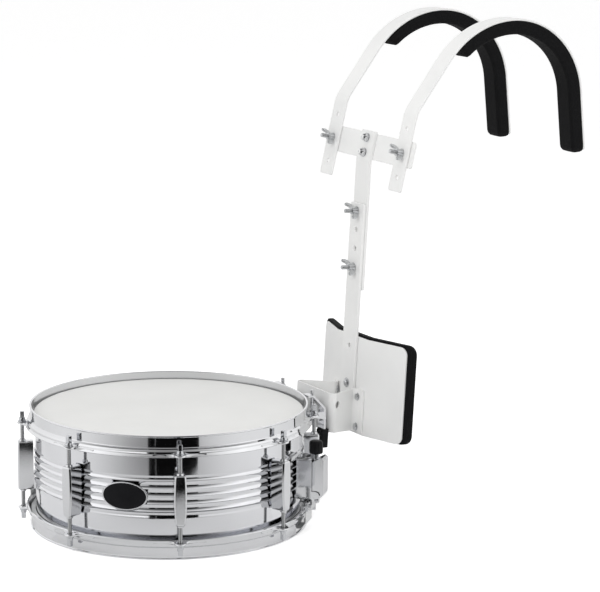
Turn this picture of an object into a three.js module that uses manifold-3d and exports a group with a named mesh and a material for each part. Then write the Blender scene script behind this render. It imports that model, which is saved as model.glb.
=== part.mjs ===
/**
 * Marching snare drum hung on its shoulder carrier, in millimetres, +Z up.
 *
 * The drum stands on its bottom hoop. The carrier is hooked to the hoop on the +Y side, where the player
 * stands, and the batter head faces up. The origin is the centre of the whole part's footprint box, on the
 * floor. A station round the drum is an azimuth in degrees, from +Y towards +X, and its frame has X along
 * the tangent, Y out along the radius and Z up.
 */
import * as THREE from 'three';
import { mergeVertices, toCreasedNormals } from 'three/addons/utils/BufferGeometryUtils.js';
import Module from 'manifold-3d';

const wasm = await Module();
wasm.setup();

// Fits
const SEAT_GAP = 0.3; // between two pieces that touch
const TURN_GAP = 0.4; // round a rod or bolt in its hole
const OVERRUN = 2; // how far a cutting solid runs past what it cuts
const WELD = 0.0001; // vertices closer than this are one
const CREASE = 30; // degrees, above which an edge is shaded sharp
const NUT_SIDES = 6;

// Shell, a 14 inch beaded steel cylinder
const SHELL_RADIUS = 177.8;
const SHELL_HEIGHT = 140;
const SHELL_WALL = 1.5;
const ROUND_STEPS = 48;
const EDGE_RISE = 3; // height of the sloped bearing edge
const EDGE_INSET = 1.6; // from the outside of the shell to the crest
const EDGE_CREST = 1.4;
const EDGE_RETURN = 5; // the flange turned in behind the crest
const EDGE_DROP = 2.4;
const BEAD_COUNT = 5;
const BEAD_PITCH = 9.8;
const BEAD_BASE = 8;
const BEAD_CREST = 3.4;
const BEAD_DEPTH = 2;

// Heads
const FILM = 0.8;
const COLLAR_SLACK = 0.6; // between the shell and the head's collar
const FLESH_WIDTH = 7;
const FLESH_HEIGHT = 6.2;

// Hoops, pressed from sheet with a lip, a step and a flange with ears
const HOOP_SHEET = 2;
const HOOP_RISE = 11; // from the shell's edge to the lip
const HOOP_HEIGHT = 27;
const STEP_DROP = 13;
const STEP_WIDTH = 3.7;
const STEP_ROUND = 2.2;
const LIP_REACH = 3;
const FLANGE_REACH = 2.5;
const EAR_COUNT = 8;
const EAR_START = 22.5; // azimuth of the first ear, in degrees
const EAR_WIDTH = 40; // where it grows out of the flange
const EAR_TIP_WIDTH = 15;
const EAR_THICKNESS = 3.4;
const EAR_STEPS = 4;
const EAR_REACH = 7; // past the rod's axis
const EAR_RISE = 3; // from the flange's top up to the ear's
const GATE_WIDTH = 46; // the cut-out in the bottom hoop that a snare strap passes through

// Tension rods
const ROD_OFFSET = 6.8; // from the hoop's skirt to the rod's axis
const ROD_RADIUS = 3;
const ROD_STEPS = 8;
const WASHER_RADIUS = 6;
const WASHER_THICKNESS = 1.6;
const ROD_COLLAR_RADIUS = 4.8;
const ROD_COLLAR_HEIGHT = 3.6;
const KEY_HEAD_SIZE = 6.4;
const KEY_HEAD_HEIGHT = 8.4;
const ROD_ENGAGEMENT = 19; // length of rod inside the lug

// Lugs, hollow castings that take a rod at each end
const LUG_HEIGHT = 66;
const LUG_WIDTH = 16;
const LUG_END_WIDTH = 10.5;
const LUG_FACE = 6.5; // from the rod's axis out to the lug's flat face
const LUG_CHAMFER = 2.6;
const LUG_END_CHAMFER = 1.5;
const LUG_WALL = 2.6;
const LUG_FOOT = 10; // length of each solid foot on the shell
const LUG_STEPS = 4;
const LUG_COLLAR_RADIUS = 5.4;
const LUG_COLLAR_HEIGHT = 2.5;

// Badge, a bare oval plate
const BADGE_AZIMUTH = 135;
const BADGE_WIDTH = 62;
const BADGE_HEIGHT = 37;
const BADGE_THICKNESS = 1.2;
const OVAL_STEPS = 28;

// Snare wires and their straps, under the bottom head
const SNARE_AZIMUTH = 45;
const STRAND_COUNT = 20;
const WIRE_INSET = 14; // from the inside of the hoop to the wires' end plate
const STRAND_PITCH = 2.1;
const STRAND_SIZE = 1.5;
const END_PLATE_LENGTH = 16;
const END_PLATE_THICKNESS = 1;
const END_PLATE_MARGIN = 1.5;
const STRAP_WIDTH = 28;
const STRAP_THICKNESS = 1.1;
const STRAP_TUCK = 13; // how far a strap runs under the end plate
const STRAP_STAND_OFF = 2.6; // from the hoop's flange out to the strap's upright
const STRAP_TURN = 8; // height over which the strap turns up

// Strainer, with its throw-off lever, slide and knob
const STRAINER_WIDTH = 28;
const STRAINER_DEPTH = 20.5;
const STRAINER_BASE = 46; // above the floor
const STRAINER_HEIGHT = 57;
const STRAINER_ROUND = 4;
const CHANNEL_WIDTH = 17.2;
const CHANNEL_DEPTH = 10.5;
const SLIDE_WIDTH = 16.4;
const SLIDE_DEPTH = 9.3;
const SLIDE_HEAD_HEIGHT = 17;
const SLIDE_HEAD_REACH = 18.2; // how far the slide's head stands out of its bed
const SLIDE_TOP_SINK = 3; // below the top of the housing
const JAW_HEIGHT = 12;
const JAW_WIDTH = 42;
const JAW_BACK = 6;
const JAW_FRONT = 4.2;
const JAW_CLEARANCE = 5.4; // above the bottom hoop's flange, for the drop
const JAW_SCREW_RADIUS = 2.4;
const JAW_SCREW_HEAD_RADIUS = 4;
const JAW_SCREW_HEAD_HEIGHT = 4;
const LEVER_WIDTH = 23;
const LEVER_DEPTH = 15.5;
const LEVER_WALL = 2.5;
const LEVER_ROUND = 9.5;
const LEVER_CUT_BACK = 6; // the lever's cheeks above its pivot boss stop short of its top by this
const PIVOT_REACH = 5.6; // from the housing's face out to the lever's pivot
const PIVOT_LIFT = 7; // from the housing's lower end up to the pivot
const PIVOT_PIN_RADIUS = 2;
const PIVOT_EAR_RADIUS = 5;
const KNOB_RADIUS = 9;
const KNOB_HEIGHT = 17.5;
const KNOB_LIFT = 7; // above the slide's head
const KNOB_GRIP_DEPTH = 0.9;
const KNOB_GRIP_COUNT = 12;
const KNOB_FOOT_SHARE = 0.9; // of the grip's width
const KNOB_DOME_SHARE = 0.78;
const KNOB_SCREW_RADIUS = 3;
const KNOB_SCREW_DEPTH = 12;
const KNOB_AXIS_REACH = 12.4; // from the slide's bed out to the knob's axis

// Butt plate, opposite the strainer
const BUTT_WIDTH = 46;
const BUTT_HEIGHT = 25;
const BUTT_ROUND = 6;
const BUTT_STEP = 2; // that the jaw stands out of the block, and in from its lower edge

// Carrier, leaning back from the drum bracket
const CARRIER_LEAN = 3.3; // degrees
const BRACKET_STAND_OFF = 27.1; // from the hoop's flange to the bracket's face
const BRACKET_LIFT = 101; // above the floor
const BRACKET_HEIGHT = 59.5;
const BRACKET_DROP = 2.5; // from the carrier's origin down to the bracket's lower edge
const BRACKET_FACE_WIDTH = 107;
const BRACKET_NECK_WIDTH = 40; // between the side walls where they meet the belly plate
const BRACKET_SPAN = 84; // across the two rear flanges
const BRACKET_SHEET = 2.2;
const SIDE_HOLE_RADIUS = 5.2;
const SIDE_HOLE_LIFT = 41;
const SIDE_HOLE_INSET = 13; // from the folded corner to the hole's middle
const SCREW_RADIUS = 2.5;
const SCREW_HEAD_RADIUS = 4.6;
const SCREW_HEAD_HEIGHT = 2.6;
const FLANGE_SCREW_INSET = 7; // from the fold to the screws
const FLANGE_SCREW_LIFTS = [4, 46];

// Bars
const BAR_WIDTH = 35;
const BAR_SHEET = 4;
const BAR_ROUND = 3;
const LOWER_BAR_FACE = 53.2; // from the bracket's face back to the lower bar's face
const LOWER_BAR_START = 14;
const LOWER_BAR_LENGTH = 297;
const BAR_HOLE_PITCH = 26;
const BAR_HOLE_RADIUS = 3.4;
const BAR_HOLE_STEPS = 8;
const BAR_TOP_HOLE_DROP = 11; // from the lower bar's top to its highest hole
const BAR_HOLE_COUNT = 4;
const BAR_SPARE_HOLE_LIFT = 113;
const BAR_SCREW_LIFT = 60.5;
const UPPER_BAR_OVERLAP = 119; // how far the upper bar runs down behind the lower one
const UPPER_BAR_HEAD_RISE = 20.5; // above the cross plate's middle

// Cross plate and the leaning plane of the straps
const HEAD_FACE = 62.1; // from the bracket's face back to the straps' face
const HEAD_LIFT = 390; // from the bracket's foot up to the cross plate's middle
const HEAD_LEAN = 10; // degrees, more than the bars
const CROSS_PLATE_WIDTH = 226;
const CROSS_PLATE_HEIGHT = 36;
const CROSS_PLATE_SHEET = 4;
const CROSS_PLATE_ROUND = 4;
const ACORN_SPACING = 20.5;
const ACORN_RADIUS = 5.6;
const ACORN_NUT_HEIGHT = 5;
const ACORN_DOME_HEIGHT = 4.6;

// Shoulder straps
const STRAP_SPACING = 182; // between the middles of the two straps
const SHOULDER_STRAP_WIDTH = 32;
const SHOULDER_STRAP_SHEET = 3;
const SHOULDER_STRAP_ROUND = 4;
const STRAP_FOOT = 52; // below the bolt
const STRAP_SHIN = 58; // above the bolt, to the bend
const STRAP_BEND = 23.6; // degrees
const STRAP_RISE = 81; // the straight stretch above the bend
const ARCH_FRONT_RADIUS = 129;
const ARCH_FRONT_TURN = 53.1; // degrees
const ARCH_BACK_RADIUS = 112;
const ARCH_BACK_TURN = 84.4; // degrees
const STRAP_TAIL = 84;
const ARCH_FRONT_STEPS = 7;
const ARCH_BACK_STEPS = 11;
const STRAP_HOLE_PITCH = 33;

// Pads
const PAD_THICKNESS = 18.5;
const PAD_WIDTH = 34;
const PAD_ROUND = 4;
const PAD_END_ROUND = 6;
const PAD_START_INSET = 16; // from the start of the arch to the pad's front end
const PAD_TAIL_OVERHANG = 2;
const PAD_SEAT_SINK_SHARE = 0.35;
// How far along a rounded end a section lies, and how far it is drawn in, as shares of the end's radius
const PAD_END_SHARES = [[0, 1], [0.3, 0.3], [1, 0]];

// Belly plate and its pad
const BELLY_WIDTH = 216;
const BELLY_FLAT_WIDTH = 82;
const BELLY_WING_ANGLE = 17.5; // degrees
const BELLY_HEIGHT = 134;
const BELLY_FOOT = -6.5; // from the bracket's foot up to the plate's lower edge
const BELLY_SHEET = 2.6;
const BELLY_ROUND = 11;
const BELLY_PAD_MARGIN = 9; // past the plate's ends
const BELLY_PAD_RISE = 3; // past its upper and lower edges
const BELLY_PAD_THICKNESS = 10.5;
const BELLY_PAD_ROUND = 14;
const BELLY_PAD_THIN_SHARE = 0.35; // how much of the corner's inset its thickness takes too
const CORNER_STEPS = 4;

// Clamps that hold the drum's hoop, each over a rubber block on the bracket's foot
const HOOK_SPACING = 82;
const HOOK_BLOCK_WIDTH = 16;
const HOOK_BLOCK_LIFT = 84; // above the floor
const HOOK_BLOCK_HEIGHT = 26;
const HOOK_BLOCK_DEPTH = 9;
const HOOK_BLOCK_CHAMFER = 2.5;
const HOOK_BOLT_INSET = 3; // from the hook's middle towards the drum's
const HOOK_BOLT_RADIUS = 2.5;
const HOOK_BOLT_LIFT = 21; // above the carrier's origin
const HOOK_SPACER_RADIUS = 4.2;
const HOOK_NUT_RADIUS = 4.6;
const HOOK_NUT_HEIGHT = 4;
const CLAW_WIDTH = 16;
const CLAW_SHEET = 2.5;
const CLAW_TOP = 158; // above the floor
const CLAW_LEG_BACK = 6; // from the bracket's face to the claw's leg
const CLAW_LEG_TOP = 139; // above the floor
const CLAW_TIP_CLEARANCE = 1.2; // from the hoop's lip out to the claw's tip
const CLAW_CREST = 8; // from the tip out to where the claw slopes down
const HOOK_JAW_REACH = 6; // past the hoop's flange, towards the shell
const HOOK_JAW_THICKNESS = 3.5; // at its tip
const HOOK_JAW_ROOT = 11; // where it meets the leg
const CLAMP_BOLT_RADIUS = 2.6;
const CLAMP_BOLT_STAND_OFF = 10; // from the hoop's flange to the bolt's axis
const CLAMP_BOLT_TOP = 165; // above the floor
const CLAMP_NUT_RADIUS = 4.2;
const CLAMP_NUT_HEIGHT = 3.5;

// Wing nuts and their bolts
const WING_BOLT_RADIUS = 3;
const WING_BOLT_REACH = 20; // in front of the face the nut bears on
const WING_BOLT_HEAD_RADIUS = 6;
const WING_BOLT_HEAD_HEIGHT = 3.4;
const WING_HUB_RADIUS = 6.4;
const WING_HUB_TOP_RADIUS = 4.8;
const WING_HUB_HEIGHT = 9;
const WING_SPAN = 31;
const WING_RISE = 14;
const WING_THICKNESS = 2.6;
const WING_TURN = 35; // degrees, at rest

// Heights and radii that several pieces share, worked out from the sizes above.
// Heights of the drum's own pieces are counted from the shell's middle.
const shellEdge = SHELL_HEIGHT / 2;
const lipHeight = shellEdge + HOOP_RISE;
const filmTop = shellEdge + SEAT_GAP + FILM;
const stepTop = lipHeight - STEP_DROP;
const fleshTop = stepTop - HOOP_SHEET - SEAT_GAP;
const flangeLow = lipHeight - HOOP_HEIGHT;
const flangeTop = flangeLow + HOOP_SHEET;
const earTop = flangeTop + EAR_RISE;
const earLow = earTop - EAR_THICKNESS;
const collarRadius = SHELL_RADIUS + COLLAR_SLACK;
const fleshRadius = collarRadius + FLESH_WIDTH;
const skirtInner = fleshRadius + SEAT_GAP;
const skirtOuter = skirtInner + HOOP_SHEET;
const hoopInner = skirtInner - STEP_WIDTH;
const lipOuter = hoopInner + HOOP_SHEET + LIP_REACH;
const flangeOuter = skirtOuter + FLANGE_REACH;
const rodCircle = skirtOuter + ROD_OFFSET;
const beadRadius = SHELL_RADIUS + BEAD_DEPTH;
const housingBack = beadRadius + SEAT_GAP;
const housingFace = housingBack + STRAINER_DEPTH;
const bracketFace = flangeOuter + BRACKET_STAND_OFF;
const strapUpright = flangeOuter + STRAP_STAND_OFF + STRAP_THICKNESS / 2;
const strandTop = -filmTop - SEAT_GAP;
const plateTop = strandTop - STRAND_SIZE + END_PLATE_THICKNESS / 2;
const plateLow = plateTop - END_PLATE_THICKNESS;
const strapLevel = plateLow - SEAT_GAP - STRAP_THICKNESS / 2;
const plateEnd = hoopInner - WIRE_INSET;
const strandHalf = plateEnd - END_PLATE_LENGTH;
const jawLow = -flangeLow + JAW_CLEARANCE;

const finishes = {
  chrome: { color: 0xd9dbdd, roughness: 0.12, metalness: 1 },
  film: { color: 0xeeeeec, roughness: 0.55, metalness: 0 },
  clearFilm: { color: 0xe4e6e6, roughness: 0.35, metalness: 0 },
  steel: { color: 0x9a9c9e, roughness: 0.35, metalness: 1 },
  whitePaint: { color: 0xeeeeec, roughness: 0.35, metalness: 0 },
  blackFoam: { color: 0x151515, roughness: 0.9, metalness: 0 },
  blackPlastic: { color: 0x121212, roughness: 0.45, metalness: 0 },
  badge: { color: 0x0e0e10, roughness: 0.3, metalness: 0.2 },
};

// Solid helpers

/** Turns a closed geometry into a solid whose faces point out. */
function toSolid(geometry) {
  const bare = geometry.clone();
  bare.deleteAttribute('normal');
  bare.deleteAttribute('uv');
  const welded = mergeVertices(bare, WELD);
  const index = welded.index.array;
  const triangles = [];
  for (let i = 0; i < index.length; i += 3) {
    const [a, b, c] = [index[i], index[i + 1], index[i + 2]];
    if (a !== b && b !== c && c !== a) triangles.push([a, b, c]);
  }
  if (signedVolume(welded, triangles) < 0) triangles.forEach((corners) => corners.reverse());
  const mesh = new wasm.Mesh({
    numProp: 3,
    vertProperties: welded.attributes.position.array,
    triVerts: new Uint32Array(triangles.flat()),
  });
  return new wasm.Manifold(mesh);
}

function signedVolume(geometry, triangles) {
  const points = geometry.attributes.position;
  const [a, b, c] = [new THREE.Vector3(), new THREE.Vector3(), new THREE.Vector3()];
  let sum = 0;
  for (const [i, j, k] of triangles) {
    a.fromBufferAttribute(points, i);
    b.fromBufferAttribute(points, j);
    c.fromBufferAttribute(points, k);
    sum += a.dot(b.cross(c));
  }
  return sum;
}

function fromSolid(solid) {
  const { vertProperties, triVerts } = solid.getMesh();
  const geometry = new THREE.BufferGeometry();
  geometry.setAttribute('position', new THREE.BufferAttribute(vertProperties, 3));
  geometry.setIndex(new THREE.BufferAttribute(triVerts, 1));
  return toCreasedNormals(geometry, THREE.MathUtils.degToRad(CREASE));
}

/** Revolves a closed outline of [radius, height] points about Z. */
function revolve(outline, steps = ROUND_STEPS) {
  const onAxis = outline[0][0] === 0;
  const loop = onAxis ? outline : [...outline, outline[0]];
  const points = loop.map(([radius, height]) => new THREE.Vector2(radius, height));
  return toSolid(new THREE.LatheGeometry(points, steps).rotateX(Math.PI / 2));
}

function shapeOf(outline) {
  return new THREE.Shape(outline.map(([x, y]) => new THREE.Vector2(x, y)));
}

function prism(shape, height, curveSegments = CORNER_STEPS) {
  return toSolid(new THREE.ExtrudeGeometry(shape, { depth: height, bevelEnabled: false, curveSegments }));
}

/** An outline of [y, z] points, extruded along X and centred on x = 0. */
function sideProfile(outline, width) {
  const flat = new THREE.ExtrudeGeometry(shapeOf(outline), { depth: width, bevelEnabled: false });
  const turned = new THREE.Matrix4().makeBasis(
    new THREE.Vector3(0, 1, 0), new THREE.Vector3(0, 0, 1), new THREE.Vector3(1, 0, 0));
  flat.applyMatrix4(turned);
  return toSolid(flat.translate(-width / 2, 0, 0));
}

/** An outline of [x, z] points, extruded along Y from y = 0 to y = depth. */
function frontProfile(shape, depth) {
  const flat = new THREE.ExtrudeGeometry(shape, { depth, bevelEnabled: false, curveSegments: CORNER_STEPS });
  return toSolid(flat.rotateX(Math.PI / 2).translate(0, depth, 0));
}

/** A box between two corners. */
function block(low, high) {
  const size = high.map((value, i) => value - low[i]);
  const middle = high.map((value, i) => (value + low[i]) / 2);
  return toSolid(new THREE.BoxGeometry(...size).translate(...middle));
}

/** A cylinder, or cone frustum, standing on z = foot. */
function post(radius, foot, top, steps, topRadius = radius) {
  const height = top - foot;
  const geometry = new THREE.CylinderGeometry(topRadius, radius, height, steps);
  return toSolid(geometry.rotateX(Math.PI / 2).translate(0, 0, foot + height / 2));
}

/** A cylinder along Y from y = start to y = end, at [x, z]. */
function crossPost(radius, start, end, [x, z], steps) {
  return post(radius, start, end, steps).rotate([-90, 0, 0]).translate([x, 0, z]);
}

/** A cylinder along X between x = -half and x = half, at [y, z]. */
function sidePost(radius, half, [y, z], steps) {
  return post(radius, -half, half, steps).rotate([0, 90, 0]).translate([0, y, z]);
}

function joinAll(solids) {
  return solids.reduce((whole, piece) => whole.add(piece));
}

function cutAll(solid, cutters) {
  return cutters.reduce((left, cutter) => left.subtract(cutter), solid);
}

/** A rectangle with round corners, centred on the origin. */
function roundedRectangle(width, height, radius) {
  const [x, y] = [width / 2, height / 2];
  const shape = new THREE.Shape();
  shape.moveTo(x - radius, -y);
  shape.absarc(x - radius, -y + radius, radius, -Math.PI / 2, 0);
  shape.absarc(x - radius, y - radius, radius, 0, Math.PI / 2);
  shape.absarc(-x + radius, y - radius, radius, Math.PI / 2, Math.PI);
  shape.absarc(-x + radius, -y + radius, radius, Math.PI, Math.PI * 1.5);
  shape.closePath();
  return shape;
}

/** The two long sides of a sheet of the given thickness along a path of points, with mitred bends. */
function sheetOutline(path, thickness) {
  const half = thickness / 2;
  const normals = path.slice(1).map(([x, y], i) => {
    const along = new THREE.Vector2(x - path[i][0], y - path[i][1]).normalize();
    return new THREE.Vector2(-along.y, along.x);
  });
  const sides = [[], []];
  path.forEach(([x, y], i) => {
    const before = normals[Math.max(i - 1, 0)];
    const after = normals[Math.min(i, normals.length - 1)];
    const mitre = before.clone().add(after).normalize();
    mitre.multiplyScalar(half / mitre.dot(before));
    sides[0].push([x + mitre.x, y + mitre.y]);
    sides[1].unshift([x - mitre.x, y - mitre.y]);
  });
  return [...sides[0], ...sides[1]];
}

/** Rings of equal point counts joined into one closed skin, with a flat cap at each end. */
function loft(rings) {
  const count = rings[0].length;
  const positions = rings.flat(2);
  const index = [];
  for (let level = 0; level + 1 < rings.length; level += 1) {
    for (let i = 0; i < count; i += 1) {
      const [a, b] = [level * count + i, level * count + ((i + 1) % count)];
      index.push(a, b, b + count, a, b + count, a + count);
    }
  }
  const last = (rings.length - 1) * count;
  for (let i = 1; i + 1 < count; i += 1) {
    index.push(0, i + 1, i, last, last + i, last + i + 1);
  }
  const geometry = new THREE.BufferGeometry();
  geometry.setAttribute('position', new THREE.Float32BufferAttribute(positions, 3));
  geometry.setIndex(index);
  return toSolid(geometry);
}

/** A direction at an angle from +Y towards +X, in degrees. */
function heading(degrees) {
  const angle = THREE.MathUtils.degToRad(degrees);
  return [Math.sin(angle), Math.cos(angle)];
}

function earAzimuths() {
  return Array.from({ length: EAR_COUNT }, (_, i) => EAR_START + (360 / EAR_COUNT) * i);
}

function named(name, solid, finish) {
  const mesh = new THREE.Mesh(fromSolid(solid), new THREE.MeshStandardMaterial(finishes[finish]));
  mesh.name = name;
  return mesh;
}

/** A group whose +Y points out at an azimuth of the drum. */
function station(azimuth, ...pieces) {
  const group = new THREE.Group();
  group.rotation.z = -THREE.MathUtils.degToRad(azimuth);
  group.add(...pieces);
  return group;
}

// Drum pieces

function shellSolid() {
  const edge = [
    [SHELL_RADIUS - SHELL_WALL, shellEdge - EDGE_DROP - SHELL_WALL],
    [SHELL_RADIUS - SHELL_WALL - EDGE_RETURN, shellEdge - EDGE_DROP - SHELL_WALL],
    [SHELL_RADIUS - SHELL_WALL - EDGE_RETURN, shellEdge - EDGE_DROP],
    [SHELL_RADIUS - EDGE_INSET - EDGE_CREST, shellEdge],
    [SHELL_RADIUS - EDGE_INSET, shellEdge],
    [SHELL_RADIUS, shellEdge - EDGE_RISE],
  ];
  const mirrored = edge.map(([radius, height]) => [radius, -height]).reverse();
  return revolve([...edge, ...beadOutline(), ...mirrored]);
}

/** The pressed beads, from the highest to the lowest. */
function beadOutline() {
  const points = [];
  for (let i = 0; i < BEAD_COUNT; i += 1) {
    const middle = BEAD_PITCH * ((BEAD_COUNT - 1) / 2 - i);
    points.push([SHELL_RADIUS, middle + BEAD_BASE / 2], [beadRadius, middle + BEAD_CREST / 2]);
    points.push([beadRadius, middle - BEAD_CREST / 2], [SHELL_RADIUS, middle - BEAD_BASE / 2]);
  }
  return points;
}

/** A head facing up: film, collar and flesh hoop in one skin. */
function headSolid() {
  const fleshLow = fleshTop - FLESH_HEIGHT;
  return revolve([
    [0, shellEdge + SEAT_GAP],
    [collarRadius, shellEdge + SEAT_GAP],
    [collarRadius, fleshLow],
    [fleshRadius, fleshLow],
    [fleshRadius, fleshTop],
    [collarRadius + FILM, fleshTop],
    [collarRadius + FILM, filmTop - FILM],
    [collarRadius, filmTop],
    [0, filmTop],
  ]);
}

function hoopRing() {
  return revolve([
    [hoopInner, lipHeight],
    [hoopInner, stepTop - HOOP_SHEET],
    [skirtInner, stepTop - HOOP_SHEET],
    [skirtInner, flangeLow],
    [flangeOuter, flangeLow],
    [flangeOuter, flangeTop],
    [skirtOuter, flangeTop],
    [skirtOuter, stepTop - STEP_ROUND],
    [skirtOuter - STEP_ROUND, stepTop],
    [hoopInner + HOOP_SHEET, stepTop],
    [hoopInner + HOOP_SHEET, lipHeight - HOOP_SHEET],
    [lipOuter, lipHeight - HOOP_SHEET],
    [lipOuter, lipHeight],
  ]);
}

/** One ear, drawn out of the skirt in a long hollow curve to a rounded end round the rod. */
function earSolid() {
  const tip = rodCircle + EAR_REACH;
  const inner = skirtInner + SEAT_GAP;
  const shape = new THREE.Shape();
  shape.moveTo(-EAR_WIDTH / 2, inner);
  shape.lineTo(EAR_WIDTH / 2, inner);
  shape.quadraticCurveTo(EAR_TIP_WIDTH / 2, flangeOuter, EAR_TIP_WIDTH / 2, rodCircle);
  shape.quadraticCurveTo(EAR_TIP_WIDTH / 2, tip, 0, tip);
  shape.quadraticCurveTo(-EAR_TIP_WIDTH / 2, tip, -EAR_TIP_WIDTH / 2, rodCircle);
  shape.quadraticCurveTo(-EAR_TIP_WIDTH / 2, flangeOuter, -EAR_WIDTH / 2, inner);
  return prism(shape, EAR_THICKNESS, EAR_STEPS).translate([0, 0, earLow]);
}

function topHoopSolid() {
  const hole = post(ROD_RADIUS + TURN_GAP, earLow - OVERRUN, earTop + OVERRUN, ROD_STEPS)
    .translate([0, rodCircle, 0]);
  const ears = earAzimuths().map((azimuth) => earSolid().rotate([0, 0, -azimuth]));
  const holes = earAzimuths().map((azimuth) => hole.rotate([0, 0, -azimuth]));
  return cutAll(joinAll([hoopRing(), ...ears]), holes);
}

/** The top hoop turned over, with a gate for the strap on each side. */
function bottomHoopSolid() {
  const gate = block(
    [-GATE_WIDTH / 2, plateEnd, -lipHeight + HOOP_SHEET + SEAT_GAP],
    [GATE_WIDTH / 2, skirtInner, -stepTop - SEAT_GAP]);
  const gates = [SNARE_AZIMUTH, SNARE_AZIMUTH + 180].map((azimuth) => gate.rotate([0, 0, -azimuth]));
  return cutAll(topHoopSolid().rotate([180, 0, 0]), gates);
}

/** A lug: a barrel-sided casting, open towards the shell, with a bored collar at each end. */
function lugSolid() {
  const half = LUG_HEIGHT / 2;
  const levels = [-half];
  for (let i = 0; i <= LUG_STEPS; i += 1) levels.push((half - LUG_END_CHAMFER) * (2 * i / LUG_STEPS - 1));
  levels.push(half);
  const rings = levels.map((level, i) => lugRing(level, i === 0 || i === levels.length - 1));
  const collar = post(LUG_COLLAR_RADIUS, -half - LUG_COLLAR_HEIGHT, half + LUG_COLLAR_HEIGHT, ROD_STEPS)
    .translate([0, rodCircle, 0]);
  const bore = post(ROD_RADIUS + TURN_GAP, -LUG_HEIGHT, LUG_HEIGHT, ROD_STEPS).translate([0, rodCircle, 0]);
  const pocketEnd = half - LUG_FOOT;
  const pocketHalf = LUG_WIDTH / 2 - LUG_WALL;
  const pocket = block(
    [-pocketHalf, SHELL_RADIUS - OVERRUN, -pocketEnd],
    [pocketHalf, rodCircle + LUG_FACE - LUG_WALL, pocketEnd]);
  const relief = block(
    [-LUG_WIDTH, SHELL_RADIUS - OVERRUN, -pocketEnd - OVERRUN],
    [LUG_WIDTH, beadRadius + SEAT_GAP, pocketEnd + OVERRUN]);
  return cutAll(loft(rings).add(collar), [bore, pocket, relief]);
}

function lugRing(level, isEnd) {
  const reach = Math.abs(level) / (LUG_HEIGHT / 2);
  const inset = isEnd ? LUG_END_CHAMFER : 0;
  const half = (LUG_WIDTH - (LUG_WIDTH - LUG_END_WIDTH) * reach * reach) / 2 - inset;
  const back = SHELL_RADIUS + SEAT_GAP;
  const face = rodCircle + LUG_FACE - inset;
  const outline = [
    [-half, back], [-half, face - LUG_CHAMFER], [-half + LUG_CHAMFER, face],
    [half - LUG_CHAMFER, face], [half, face - LUG_CHAMFER], [half, back],
  ];
  return outline.map(([x, y]) => [x, y, level]);
}

/** A tension rod on the Z axis, heights as in the drum: shaft, washer, collar and square key head. */
function rodSolid() {
  const seat = earTop + SEAT_GAP;
  const washerTop = seat + WASHER_THICKNESS;
  const collarTop = washerTop + ROD_COLLAR_HEIGHT;
  const half = KEY_HEAD_SIZE / 2;
  return joinAll([
    post(ROD_RADIUS, LUG_HEIGHT / 2 - ROD_ENGAGEMENT, collarTop, ROD_STEPS),
    post(WASHER_RADIUS, seat, washerTop, ROD_STEPS),
    post(ROD_COLLAR_RADIUS, washerTop, collarTop, ROD_STEPS),
    block([-half, -half, collarTop], [half, half, collarTop + KEY_HEAD_HEIGHT]),
  ]);
}

/** The oval badge, bent to the crests of the beads. */
function badgeSolid() {
  const inner = beadRadius + SEAT_GAP;
  const outer = inner + BADGE_THICKNESS;
  const half = BADGE_HEIGHT / 2;
  const band = revolve([[inner, -half], [outer, -half], [outer, half], [inner, half]]);
  const oval = new THREE.Shape();
  oval.absellipse(0, 0, BADGE_WIDTH / 2, half, 0, Math.PI * 2);
  const points = oval.getPoints(OVAL_STEPS).slice(0, -1);
  return band.rotate([0, 0, -BADGE_AZIMUTH])
    .intersect(frontProfile(new THREE.Shape(points), outer + OVERRUN).rotate([0, 0, -BADGE_AZIMUTH]))
    .rotate([0, 0, BADGE_AZIMUTH]);
}

/** The snare wires along Y: a row of strands between two end plates. */
function snareWiresSolid() {
  const width = STRAND_PITCH * (STRAND_COUNT - 1) + STRAND_SIZE;
  const lap = END_PLATE_LENGTH / 2;
  const strands = Array.from({ length: STRAND_COUNT }, (_, i) => {
    const middle = STRAND_PITCH * (i - (STRAND_COUNT - 1) / 2);
    return block(
      [middle - STRAND_SIZE / 2, -strandHalf - lap, strandTop - STRAND_SIZE],
      [middle + STRAND_SIZE / 2, strandHalf + lap, strandTop]);
  });
  const half = width / 2 + END_PLATE_MARGIN;
  const plates = [-1, 1].map((side) => {
    const ends = [side * strandHalf, side * plateEnd].sort((a, b) => a - b);
    return block([-half, ends[0], plateLow], [half, ends[1], plateTop]);
  });
  return joinAll([...plates, ...strands]);
}

/** A snare strap, from under the end plate out through the gate and up into the clamp. */
function snareStrapSolid() {
  const path = [
    [plateEnd - STRAP_TUCK, strapLevel],
    [lipOuter, strapLevel],
    [strapUpright, strapLevel + STRAP_TURN],
    [strapUpright, jawLow + JAW_HEIGHT],
  ];
  return sideProfile(sheetOutline(path, STRAP_THICKNESS), STRAP_WIDTH);
}

/** The two bars and two screws that pinch a snare strap, in the station's frame. */
function jawSolids() {
  const half = JAW_WIDTH / 2;
  const slit = STRAP_THICKNESS / 2 + SEAT_GAP;
  const screwPlace = (STRAP_WIDTH + JAW_WIDTH) / 4;
  const screwLevel = jawLow + JAW_HEIGHT / 2;
  const front = strapUpright + slit + JAW_FRONT;
  const screws = [-screwPlace, screwPlace].flatMap((place) => [
    crossPost(JAW_SCREW_RADIUS, strapUpright - JAW_BACK / 2, front, [place, screwLevel], ROD_STEPS),
    crossPost(
      JAW_SCREW_HEAD_RADIUS, front - SEAT_GAP, front + JAW_SCREW_HEAD_HEIGHT, [place, screwLevel], ROD_STEPS),
  ]);
  return [
    block([-half, strapUpright - slit - JAW_BACK, jawLow], [half, strapUpright - slit, jawLow + JAW_HEIGHT]),
    block([-half, strapUpright + slit, jawLow], [half, front, jawLow + JAW_HEIGHT]),
    ...screws,
  ];
}

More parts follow.
